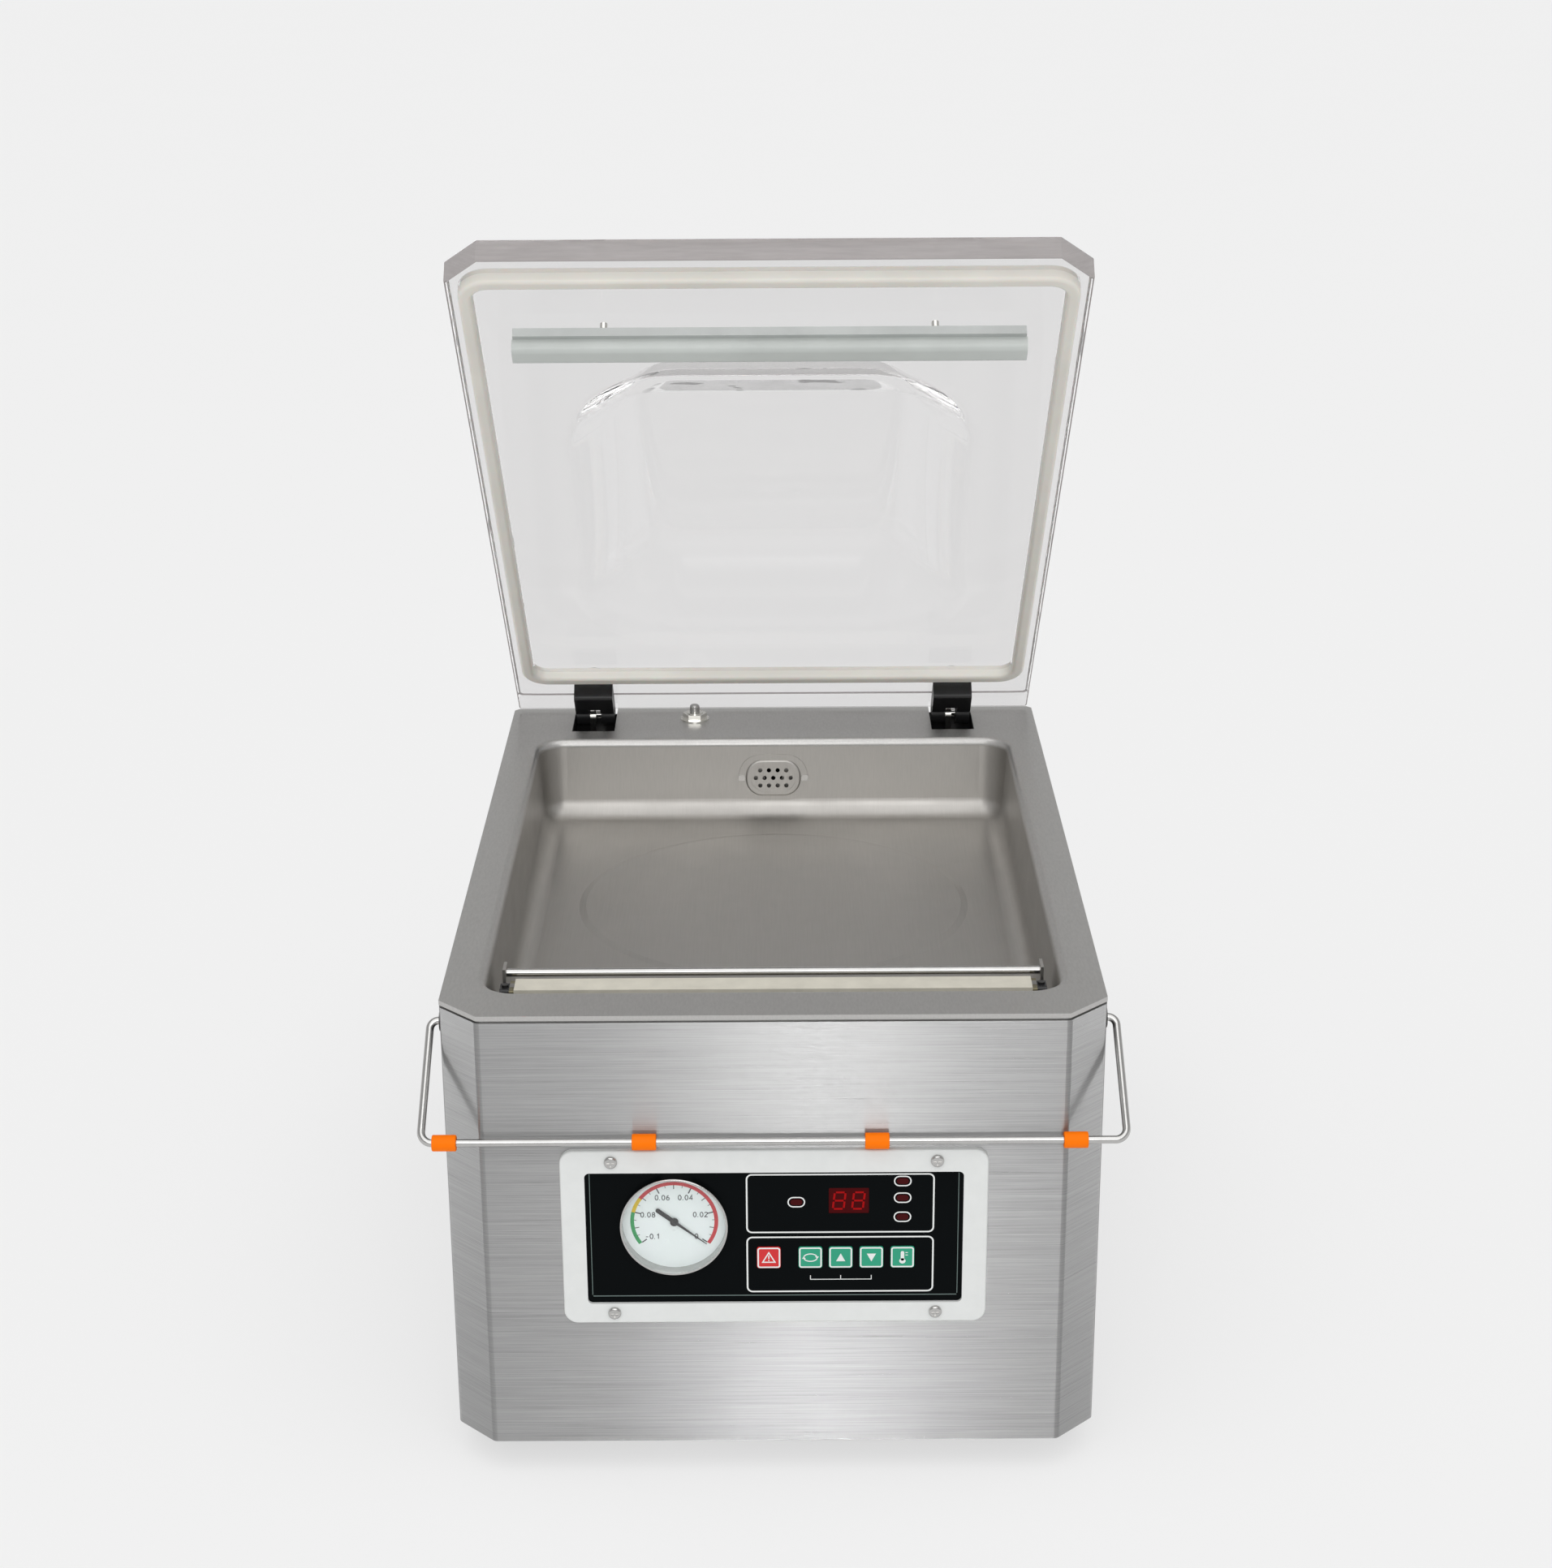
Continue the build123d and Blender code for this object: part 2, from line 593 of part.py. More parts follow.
# ---- lid switch ----
def lid_switch_nut():
    """Washer and hexagonal nut that hold the switch barrel in the deck."""
    nut = prism(Pos(SWITCH_PIN_X, SWITCH_PIN_Y) * RegularPolygon(7.6, 6), DECK_TOP + 0.8, DECK_TOP + 4.2)
    washer = rod_z(SWITCH_PIN_X, SWITCH_PIN_Y, DECK_TOP, DECK_TOP + 0.8, 9)
    hole = rod_z(SWITCH_PIN_X, SWITCH_PIN_Y, DECK_TOP - 1, DECK_TOP + 6, 5.05)
    return nut + washer - hole


def lid_switch_body():
    barrel = rod_z(SWITCH_PIN_X, SWITCH_PIN_Y, DECK_TOP - 16, DECK_TOP + 4.6, 5.0)
    barrel += rod_z(SWITCH_PIN_X, SWITCH_PIN_Y, DECK_TOP - 5, DECK_TOP - DECK_T, 8)
    barrel += box(SWITCH_PIN_X - 10, SWITCH_PIN_X + 18, SWITCH_PIN_Y - 6, SWITCH_PIN_Y + 6,
                  DECK_TOP - 42, DECK_TOP - 16)
    barrel -= rod_z(SWITCH_PIN_X, SWITCH_PIN_Y, DECK_TOP - 30, DECK_TOP + 6, 3.2)
    return barrel


def lid_switch_plunger():
    pin = rod_z(SWITCH_PIN_X, SWITCH_PIN_Y, DECK_TOP - 22, DECK_TOP + 9.6, 3.12)
    top = pin.edges().filter_by(GeomType.CIRCLE).sort_by(Axis.Z)[-1]
    return fillet(top, 1.6)


# ---- bail ----
def bail_wire():
    x_in = 157.0
    x_arm = 170.5
    x_bar = 174.5
    y0, z0 = BAIL_PIVOT_Y, BAIL_PIVOT_Z
    y1, z1 = BAIL_BAR_Y, BAIL_BAR_Z
    pts = [(-x_in, y0, z0), (-x_arm, y0, z0), (-x_bar, y1, z1), (x_bar, y1, z1), (x_arm, y0, z0), (x_in, y0, z0)]
    path = FilletPolyline(*pts, radius=[4.4, 5.4, 5.4, 4.4])
    section = Plane(origin=pts[0], z_dir=(-1, 0, 0)) * Circle(WIRE_R)
    return sweep(section, path=path)


def bail_sleeves():
    half = SLEEVE_LEN / 2
    sleeves = []
    for x in SLEEVES_X:
        tube = rod_x(x - half, x + half, BAIL_BAR_Y, BAIL_BAR_Z, SLEEVE_R)
        tube = fillet(tube.edges().filter_by(GeomType.CIRCLE), 0.6)
        sleeves.append(tube - rod_x(x - half - 1, x + half + 1, BAIL_BAR_Y, BAIL_BAR_Z, WIRE_R + 0.03))
    return solids(*sleeves)


def bail_bushings():
    bushings = []
    for side in (-1, 1):
        wall = CASE_W / 2
        bush = rod_x(wall - 6, wall, BAIL_PIVOT_Y, BAIL_PIVOT_Z, 3.95)
        bush += rod_x(wall - 6, wall - SHEET - 0.1, BAIL_PIVOT_Y, BAIL_PIVOT_Z, 6.0)
        bush += rod_x(wall, wall + 0.9, BAIL_PIVOT_Y, BAIL_PIVOT_Z, 5.2)
        bush -= rod_x(wall - 12, wall + 3, BAIL_PIVOT_Y, BAIL_PIVOT_Z, WIRE_R + 0.06)
        bushings.append(bush if side > 0 else mirror(bush, Plane.YZ))
    return solids(*bushings)


# ---- control panel ----
BEZEL_FACE = FRONT - BEZEL_T
SCREW_SPOTS = [(sx * 81, PANEL_Z + sz * 42.5) for sx in (-1, 1) for sz in (-1, 1)]
PLATE_BACK = PLATE_FRONT + PLATE_T


def panel_bezel():
    """Moulded frame: a rounded face plate and a skirt that goes through the case front."""
    body = front_plate(BEZEL_W, BEZEL_H, 7, 0, PANEL_Z, BEZEL_FACE, FRONT)
    body = fillet(body.edges().group_by(Axis.Y)[0], 1.1)
    body += front_plate(195.4, 79.4, 4, 0, PANEL_Z, FRONT, FRONT + 13)
    body -= front_plate(WINDOW_W, WINDOW_H, 2.5, 0, PANEL_Z - 0.5, BEZEL_FACE - 1, PLATE_BACK)
    body -= front_plate(183, 68, 2, 0, PANEL_Z - 0.5, FRONT - 2, FRONT + 14)
    for x, z in SCREW_SPOTS:
        body -= rod_y(x, BEZEL_FACE - 1, FRONT + 1, z, 1.5)
    return body


def bezel_screws():
    return solids(*[pan_screw(x, BEZEL_FACE, z, 3.3, 2.9) for x, z in SCREW_SPOTS])


def panel_plate():
    plate = front_plate(WINDOW_W - 0.4, WINDOW_H - 0.4, 2.3, 0, PANEL_Z - 0.5, PLATE_FRONT, PLATE_BACK)
    plate -= rod_y(GAUGE_X, PLATE_FRONT - 1, PLATE_BACK + 1, GAUGE_Z, GAUGE_R - 0.15)
    for x in BUTTONS.values():
        plate -= front_plate(BUTTON + 0.3, BUTTON + 0.3, 1.4, x, BUTTON_Z, PLATE_FRONT - 1, PLATE_BACK + 1)
    for x, z in LEDS:
        plate -= front_plate(6.3, 3.5, 1.7, x, z, PLATE_FRONT - 1, PLATE_BACK + 1)
    plate -= front_plate(20.2, 14.2, 0.6, DISPLAY_X, DISPLAY_Z, PLATE_FRONT - 1, PLATE_BACK + 1)
    for x in (-15, 85):
        for z in (PANEL_Z - 26, PANEL_Z + 26):
            plate += rod_y(x, PLATE_BACK, PLATE_BACK + 7, z, 2.5)
    return plate


def display_window():
    return front_plate(20, 14, 0.5, DISPLAY_X, DISPLAY_Z, PLATE_FRONT + 0.1, PLATE_BACK + 3)


def led_lenses():
    return solids(*[front_plate(6, 3.2, 1.55, x, z, PLATE_FRONT - 0.2, PLATE_BACK + 3) for x, z in LEDS])


def button(x):
    cap = front_plate(BUTTON, BUTTON, 1.3, x, BUTTON_Z, PLATE_FRONT - 0.6, PLATE_BACK + 0.6)
    cap = fillet(cap.edges().group_by(Axis.Y)[0], 0.3)
    return cap + rod_y(x, PLATE_BACK + 0.6, PLATE_BACK + 3.4, BUTTON_Z, 2.2)


BOARD_FRONT = PLATE_BACK + 7


def control_board():
    """Circuit board behind the panel, with its push contacts, relays and connectors."""
    board = box(-20, 90, BOARD_FRONT, BOARD_FRONT + 1.6, PANEL_Z - 31, PANEL_Z + 31)
    for x in BUTTONS.values():
        board += box(x - 3, x + 3, BOARD_FRONT - 2, BOARD_FRONT, BUTTON_Z - 3, BUTTON_Z + 3)
    back = BOARD_FRONT + 1.6
    for i in range(3):
        board += box(-14 + i * 22, 4 + i * 22, back, back + 15, PANEL_Z - 28, PANEL_Z - 14)
    board += box(56, 84, back, back + 10, PANEL_Z - 28, PANEL_Z - 16)
    board += box(0, 26, back, back + 3, PANEL_Z, PANEL_Z + 8)
    board += rod_y(50, back, back + 12, PANEL_Z + 10, 6)
    board += rod_y(66, back, back + 12, PANEL_Z + 10, 6)
    return board


# ---- gauge ----
DIAL_Y = PLATE_FRONT + DIAL_DEPTH
DIAL_T = 0.8
CAN_BACK = PLATE_BACK + 22
RING_FRONT = PLATE_FRONT - GAUGE_PROUD
WELL_R = GAUGE_R - GAUGE_WALL


def gauge_case():
    """Tin can behind the dial, with its brass connection at the back."""
    can = rod_y(GAUGE_X, DIAL_Y + DIAL_T, CAN_BACK, GAUGE_Z, GAUGE_R - 0.2)
    return can + rod_y(GAUGE_X, CAN_BACK, CAN_BACK + 18, GAUGE_Z, 5)


def gauge_bezel():
    """Thin polished ring: a deep well that reaches back to the dial, with a rolled lip in front."""
    ring = rod_y(GAUGE_X, RING_FRONT, PLATE_FRONT, GAUGE_Z, GAUGE_R)
    ring = fillet(ring.edges().filter_by(GeomType.CIRCLE).sort_by(Axis.Y)[0], 0.5)
    ring += rod_y(GAUGE_X, PLATE_FRONT, DIAL_Y + DIAL_T, GAUGE_Z, GAUGE_R - 0.2)
    ring -= rod_y(GAUGE_X, RING_FRONT - 1, RING_FRONT + 1, GAUGE_Z, WELL_R - 0.3)
    return ring - rod_y(GAUGE_X, RING_FRONT + 0.8, DIAL_Y + DIAL_T + 1, GAUGE_Z, WELL_R)


def gauge_dial():
    dial = rod_y(GAUGE_X, DIAL_Y, DIAL_Y + DIAL_T, GAUGE_Z, WELL_R - 0.05)
    for x, z in ((-4, -11.5), (4, -11.5), (0, -6)):
        dial += rod_y(GAUGE_X + x, DIAL_Y - 0.3, DIAL_Y, GAUGE_Z + z, 1.1)
    return dial - rod_y(GAUGE_X, DIAL_Y - 1, DIAL_Y + 2, GAUGE_Z, 0.9)


NEEDLE_DEG = -38.0         # at rest it points to 0, low on the right


def gauge_needle():
    """Pointer with its counterweight tail and brass hub, on a thin spindle."""
    y0 = DIAL_Y - 1.1
    y1 = DIAL_Y - 0.7
    tip = Polygon([(0, -0.75), (20.5, -0.12), (20.5, 0.12), (0, 0.75)])
    tail = Pos(-5.7, 0) * SlotOverall(11.4, 2.2)
    pointer = Plane(origin=(GAUGE_X, y1, GAUGE_Z), x_dir=(1, 0, 0), z_dir=(0, -1, 0))
    blade = extrude(pointer * (Rot(0, 0, NEEDLE_DEG) * (tip + tail)), y1 - y0)
    hub = rod_y(GAUGE_X, y0 - 0.5, y1 + 0.1, GAUGE_Z, 2.1)
    return blade + hub + rod_y(GAUGE_X, y1, DIAL_Y + 0.6, GAUGE_Z, 0.8)


def gauge_lens():
    return rod_y(GAUGE_X, RING_FRONT + 0.85, RING_FRONT + 1.85, GAUGE_Z, WELL_R - 0.05)


# ---- inside the case ----
PUMP_X = -40.0
PUMP_Y = 60.0
PUMP_FOOT = FOOT_H + SHEET
SHAFT_Z = PUMP_FOOT + 72.0
MOTOR_R = 52.0


def pump_body():
    """Oil-sealed rotary vane pump: finned block, oil sump, exhaust box and feet."""
    x0 = PUMP_X - 70
    x1 = PUMP_X
    body = box(x0, x1, PUMP_Y - 50, PUMP_Y + 50, PUMP_FOOT + 12, PUMP_FOOT + 118)
    body = fillet(body.edges().filter_by(Axis.X), 8)
    for i in range(5):
        x = x0 + 8 + i * 12
        body += box(x, x + 4, PUMP_Y - 55, PUMP_Y + 55, PUMP_FOOT + 30, PUMP_FOOT + 100)
    for x in (x0 + 10, x1 - 10):
        for y in (PUMP_Y - 40, PUMP_Y + 40):
            body += rod_z(x, y, PUMP_FOOT, PUMP_FOOT + 13, 8)
    body += rod_z(x0 + 35, PUMP_Y + 30, PUMP_FOOT + 118, PUMP_FOOT + 138, 9)
    body -= rod_z(x0 + 35, PUMP_Y + 30, PUMP_FOOT + 122, PUMP_FOOT + 139, 6)
    return body


def pump_motor():
    """Motor can with cooling ribs, and the slotted cowl over its fan."""
    x0 = PUMP_X
    x1 = PUMP_X + 110
    motor = rod_x(x0, x1, PUMP_Y, SHAFT_Z, MOTOR_R)
    for i in range(12):
        rib = box(x0 + 8, x1 - 8, PUMP_Y - 1.2, PUMP_Y + 1.2, SHAFT_Z + MOTOR_R - 3, SHAFT_Z + MOTOR_R + 5)
        motor += rib.rotate(Axis((0, PUMP_Y, SHAFT_Z), (1, 0, 0)), i * 30 + 15)
    cowl = rod_x(x1, x1 + 34, PUMP_Y, SHAFT_Z, MOTOR_R + 2) - rod_x(x1 + 1, x1 + 32, PUMP_Y, SHAFT_Z, MOTOR_R)
    for i in range(8):
        slot = box(x1 + 30, x1 + 36, PUMP_Y - 3, PUMP_Y + 3, SHAFT_Z + 14, SHAFT_Z + 44)
        cowl -= slot.rotate(Axis((0, PUMP_Y, SHAFT_Z), (1, 0, 0)), i * 45)
    motor += cowl
    motor += box(x0 + 20, x1 - 20, PUMP_Y - 45, PUMP_Y + 45, PUMP_FOOT, PUMP_FOOT + 26)
    return motor - rod_x(x1 - 20, x1 + 2, PUMP_Y, SHAFT_Z, 5.0)


def motor_fan():
    x0 = PUMP_X + 116
    fan = rod_x(x0, x0 + 16, PUMP_Y, SHAFT_Z, 12)
    for i in range(7):
        blade = Pos(x0 + 8, PUMP_Y, SHAFT_Z + 27) * Rot(0, 0, 35) * Box(2, 14, 32)
        fan += blade.rotate(Axis((0, PUMP_Y, SHAFT_Z), (1, 0, 0)), i * 360 / 7)
    return fan + rod_x(PUMP_X + 92, x0, PUMP_Y, SHAFT_Z, 4.95)


def transformer():
    """Sealing transformer: laminated core with its two windings."""
    x0, x1 = -120.0, -50.0
    y0, y1 = -150.0, -100.0
    z0 = PUMP_FOOT
    core = box(x0, x1, y0 + 10, y1 - 10, z0, z0 + 58)
    core += box(x0 + 12, x1 - 12, y0, y1, z0 + 12, z0 + 46)
    return core + box(x0 - 8, x1 + 8, y0 + 12, y1 - 12, z0, z0 + 2)


def valve_block():
    """Manifold with three solenoid valves: vacuum, air return and bar lift."""
    z0 = PUMP_FOOT
    block = box(30, 120, -60, -25, z0, z0 + 30)
    for i in range(3):
        x = 45 + i * 30
        block += box(x - 10, x + 10, -54, -31, z0 + 30, z0 + 66)
        block += rod_z(x, -42.5, z0 + 66, z0 + 72, 5)
    block += rod_y(75, -25, -10, z0 + 15, 6)
    return block


HOSE_R = 8.5


def vacuum_hose():
    """Hose from the chamber's suction port to the pump's inlet."""
    start = wall_plane(GRILLE_DROP).from_local_coords(Vector(0, 0, -22.6))
    inlet_x = PUMP_X - 35
    inlet_y = PUMP_Y + 30
    inlet_z = PUMP_FOOT + 138.2
    pts = [start, start + Vector(0, 22, 0), (start.X, start.Y + 22, 184), (inlet_x, 196, 184),
           (inlet_x, inlet_y, 184), (inlet_x, inlet_y, inlet_z)]
    path = FilletPolyline(*pts, radius=[17, 15, 20, 12])
    ring = Circle(HOSE_R) - Circle(6)
    section = Plane(origin=pts[0], z_dir=(0, 1, 0)) * ring
    return sweep(section, path=path)


def power_inlet():
    """Three-pin appliance inlet in the rear panel."""
    y = REAR_Y + SHEET
    body = front_plate(36, 26, 3, INLET_X, INLET_Z, y, y + 2)
    body += front_plate(27, 20, 2, INLET_X, INLET_Z, REAR_Y - 18, y)
    body -= front_plate(24, 16.5, 2.5, INLET_X, INLET_Z, y - 14, y + 3)
    for x, z in ((-7, -1.5), (0, 2.5), (7, -1.5)):
        body += box(INLET_X + x - 1, INLET_X + x + 1, y - 14, y - 1, INLET_Z + z - 2, INLET_Z + z + 2)
    return body


def fuse_holder():
    y = REAR_Y + SHEET
    body = rod_y(FUSE_X, REAR_Y - 24, y, INLET_Z, 6.0) + rod_y(FUSE_X, y, y + 4, INLET_Z, 8)
    return body - box(FUSE_X - 5, FUSE_X + 5, y + 2.6, y + 5, INLET_Z - 0.8, INLET_Z + 0.8)


ROCKER_X = SWITCH_X + 20
ROCKER_Y = REAR_Y + SHEET - 4.0
ROCKER_DEG = 12.0


def switch_housing():
    y = REAR_Y + SHEET
    body = front_plate(31, 24, 2, ROCKER_X, SWITCH_Z, y, y + 1.6)
    body += front_plate(28, 21, 1, ROCKER_X, SWITCH_Z, REAR_Y - 20, y)
    body -= front_plate(24.5, 16.5, 1, ROCKER_X, SWITCH_Z, y - 10, y + 2)
    return body


def power_rocker():
    """Rocker cap, drawn with its off side pressed in."""
    cap = box(ROCKER_X - 11.3, ROCKER_X + 11.3, ROCKER_Y - 1.5, ROCKER_Y + 4.4, SWITCH_Z - 7.9, SWITCH_Z + 7.9)
    cap = fillet(cap.edges().filter_by(Axis.Z).group_by(Axis.Y)[-1], 1.2)
    return cap.rotate(Axis((ROCKER_X, ROCKER_Y, SWITCH_Z), (0, 0, 1)), ROCKER_DEG)


PARTS = {
    "case_shell": case_shell, "base_plate": base_plate, "rear_panel": rear_panel,
    "case_screws": case_screws, "rubber_feet": rubber_feet, "deck_plate": deck_plate,
    "chamber_tub": chamber_tub, "suction_grille": suction_grille, "grille_clips": grille_clips,
    "bag_rod": bag_rod, "rod_brackets": rod_brackets, "sealing_bar": sealing_bar,
    "heating_wire": heating_wire, "ptfe_tape": ptfe_tape, "seal_end_blocks": seal_end_blocks,
    "lift_pistons": lift_pistons, "lift_cylinders": lift_cylinders, "lid_shell": lid_shell,
    "lid_gasket": lid_gasket, "anvil_holder": anvil_holder, "anvil_pad": anvil_pad,
    "anvil_screws": anvil_screws, "hinge_blocks": hinge_blocks, "hinge_screws": hinge_screws,
    "hinge_housings": hinge_housings, "hinge_lugs": hinge_lugs, "hinge_pins": hinge_pins,
    "lid_springs": lid_springs, "lid_switch_nut": lid_switch_nut, "lid_switch_body": lid_switch_body,
    "lid_switch_plunger": lid_switch_plunger, "bail_wire": bail_wire, "bail_sleeves": bail_sleeves,
    "bail_bushings": bail_bushings, "panel_bezel": panel_bezel, "bezel_screws": bezel_screws,
    "panel_plate": panel_plate, "display_window": display_window, "led_lenses": led_lenses,
    "control_board": control_board, "gauge_case": gauge_case, "gauge_bezel": gauge_bezel,
    "gauge_dial": gauge_dial, "gauge_needle": gauge_needle, "gauge_lens": gauge_lens,
    "pump_body": pump_body, "pump_motor": pump_motor, "motor_fan": motor_fan,
    "transformer": transformer, "valve_block": valve_block, "vacuum_hose": vacuum_hose,
    "power_inlet": power_inlet, "fuse_holder": fuse_holder, "switch_housing": switch_housing,
    "power_rocker": power_rocker,
}

os.makedirs("parts", exist_ok=True)
for name, make in PARTS.items():
    export_step(make(), f"parts/{name}.step")
for name, x in BUTTONS.items():
    export_step(button(x), f"parts/{name}.step")
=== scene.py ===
import json
import math

import bmesh
import bpy
from mathutils import Matrix, Vector

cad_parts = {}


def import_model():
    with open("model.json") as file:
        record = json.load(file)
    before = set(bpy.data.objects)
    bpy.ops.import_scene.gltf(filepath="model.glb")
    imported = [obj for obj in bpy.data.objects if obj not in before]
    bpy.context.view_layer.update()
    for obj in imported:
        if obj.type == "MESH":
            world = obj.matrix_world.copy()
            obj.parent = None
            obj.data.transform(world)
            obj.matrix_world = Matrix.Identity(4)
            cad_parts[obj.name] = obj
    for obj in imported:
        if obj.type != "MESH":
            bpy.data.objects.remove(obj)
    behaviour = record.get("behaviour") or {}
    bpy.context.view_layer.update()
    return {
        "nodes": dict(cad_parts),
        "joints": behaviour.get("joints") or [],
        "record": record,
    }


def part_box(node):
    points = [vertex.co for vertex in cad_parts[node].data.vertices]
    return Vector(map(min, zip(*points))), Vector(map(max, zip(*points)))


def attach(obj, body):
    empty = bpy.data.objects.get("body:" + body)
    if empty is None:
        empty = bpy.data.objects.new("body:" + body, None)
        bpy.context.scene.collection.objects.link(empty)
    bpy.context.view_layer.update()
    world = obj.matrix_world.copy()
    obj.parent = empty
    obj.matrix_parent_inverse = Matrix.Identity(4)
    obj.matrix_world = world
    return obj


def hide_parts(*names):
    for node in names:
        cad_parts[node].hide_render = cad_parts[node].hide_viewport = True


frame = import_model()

NODES = frame["nodes"]
JOINTS = {row["name"]: row for row in frame["joints"]}
MM = 0.001
X, Y, Z = range(3)


def span(node, axis):
    """The two ends of a CAD node along an axis, in millimetres."""
    return tuple(round(corner[axis] / MM, 2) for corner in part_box(node))


def middle(node, axis):
    return sum(span(node, axis)) / 2


# ---------------------------------------------------------------- materials
class Look:
    """A procedural material: one Principled shader with patterns in object coordinates."""

    def __init__(self, name, color, rough, metal=0.0, **sockets):
        self.material = bpy.data.materials.new(name)
        self.material.use_nodes = True
        self.tree = self.material.node_tree
        self.shader = self.tree.nodes["Principled BSDF"]
        self.color, self.rough = color, rough
        self.put(self.shader, "Base Color", (*color, 1))
        self.put(self.shader, "Roughness", rough)
        self.put(self.shader, "Metallic", metal)
        for socket, value in sockets.items():
            self.put(self.shader, socket.replace("_", " "), value)

    def put(self, node, socket, value):
        """Sets a socket to a number, or joins it to another node's output."""
        if isinstance(value, bpy.types.NodeSocket):
            self.tree.links.new(value, node.inputs[socket])
        else:
            node.inputs[socket].default_value = value

    def node(self, kind, settings=None, **sockets):
        made = self.tree.nodes.new("ShaderNode" + kind)
        for key, value in (settings or {}).items():
            setattr(made, key, value)
        for socket, value in sockets.items():
            self.put(made, socket.replace("_", " "), value)
        return made

    def place(self, stretch=(1, 1, 1)):
        """Object coordinates, scaled along each axis."""
        coords = self.node("TexCoord").outputs["Object"]
        return self.node("Mapping", Vector=coords, Scale=stretch).outputs[0]

    def noise(self, scale, stretch=(1, 1, 1), detail=3.0, rough=0.55):
        where = self.place(stretch)
        return self.node("TexNoise", Vector=where, Scale=scale, Detail=detail, Roughness=rough).outputs["Fac"]

    def remap(self, value, low, high, from_low=0.3, from_high=0.7):
        made = self.node("MapRange", Value=value, From_Min=from_low, From_Max=from_high,
                         To_Min=low, To_Max=high)
        return made.outputs[0]

    def tint(self, value, share):
        """Varies the base colour by a share either way, where value runs over its middle range."""
        dark = [c * (1 - share) for c in self.color]
        light = [min(1, c * (1 + share)) for c in self.color]
        ramp = self.node("ValToRGB", Fac=value)
        ramp.color_ramp.elements[0].position = 0.3
        ramp.color_ramp.elements[0].color = (*dark, 1)
        ramp.color_ramp.elements[1].position = 0.7
        ramp.color_ramp.elements[1].color = (*light, 1)
        self.put(self.shader, "Base Color", ramp.outputs[0])
        return self

    def roughen(self, value, share):
        spread = self.remap(value, self.rough * (1 - share), self.rough * (1 + share))
        self.put(self.shader, "Roughness", spread)
        return self

    def bump(self, value, depth):
        made = self.node("Bump", Height=value, Distance=depth, Strength=1.0)
        self.put(self.shader, "Normal", made.outputs[0])
        return self

    def lets_light_through(self):
        """Lamps shine through clear material, so its shadow stays light."""
        out = self.tree.nodes["Material Output"]
        rays = self.node("LightPath").outputs["Is Shadow Ray"]
        clear = self.node("BsdfTransparent", Color=(0.93, 0.93, 0.93, 1))
        mix = self.node("MixShader", Fac=rays)
        self.tree.links.new(self.shader.outputs[0], mix.inputs[1])
        self.tree.links.new(clear.outputs[0], mix.inputs[2])
        self.tree.links.new(mix.outputs[0], out.inputs["Surface"])
        return self


def brushed_case():
    look = Look("brushed_case", (0.335, 0.335, 0.335), 0.34, 1.0, Anisotropic=1.0, Anisotropic_Rotation=0.25)
    around = look.node("Tangent", {"direction_type": "RADIAL", "axis": "Z"})
    look.put(look.shader, "Tangent", around.outputs[0])
    streaks = look.noise(1.0, (14, 14, 2600), 4.0, 0.7)
    look.tint(streaks, 0.19).roughen(streaks, 0.2)
    return look.bump(streaks, 0.00003)


def satin_deck():
    look = Look("satin_deck", (0.52, 0.513, 0.500), 0.40, 1.0)
    grain = look.noise(900, (1, 0.25, 1), 3.0)
    return look.tint(grain, 0.05).roughen(look.noise(14), 0.12).bump(grain, 0.00002)


def pressed_tub():
    look = Look("pressed_tub", (0.44, 0.426, 0.405), 0.42, 1.0)
    lines = look.noise(1.0, (1500, 30, 120), 3.0)
    return look.tint(lines, 0.03).roughen(look.noise(22), 0.16).bump(lines, 0.000015)


def polished(name="polished_steel", color=(0.50, 0.495, 0.485), rough=0.16):
    look = Look(name, color, rough, 1.0)
    return look.tint(look.noise(180), 0.04).roughen(look.noise(400), 0.3)


def grained(name, color, rough, metal=0.0, scale=700, share=0.06, depth=0.00003, **sockets):
    """Moulded, cast or painted surfaces: a fine grain with slow changes of gloss."""
    look = Look(name, color, rough, metal, **sockets)
    grain = look.noise(scale, detail=4.0)
    return look.tint(look.noise(scale / 12), share).roughen(look.noise(scale / 25), 0.15).bump(grain, depth)


def clear_acrylic():
    look = Look("clear_acrylic", (0.855, 0.849, 0.85), 0.0, 0.0, Transmission_Weight=1.0, IOR=1.035,
                Coat_Weight=0.5, Coat_Roughness=0.03)
    look.put(look.shader, "Roughness", look.remap(look.noise(40), 0.0, 0.02))
    return look.lets_light_through()


def edge_reflection_paint():
    """The lid's edge faces: partly clear, with a darker mauve-grey colour that is a painted reflection,
    standing in for the internal reflections of the clear edge.
    """
    look = Look("edge_reflection_paint", (0.35, 0.325, 0.32), 0.12, 0.0, Transmission_Weight=0.4, IOR=1.2)
    edge_streaks = look.noise(1.0, (60, 60, 900), 3.0)
    return look.tint(edge_streaks, 0.06).roughen(look.noise(90), 0.4).lets_light_through()


def gauge_glass():
    look = Look("gauge_glass", (0.995, 1.0, 1.0), 0.0, 0.0, Transmission_Weight=1.0, IOR=1.45)
    look.put(look.shader, "Roughness", look.remap(look.noise(60), 0.0, 0.01))
    return look.lets_light_through()


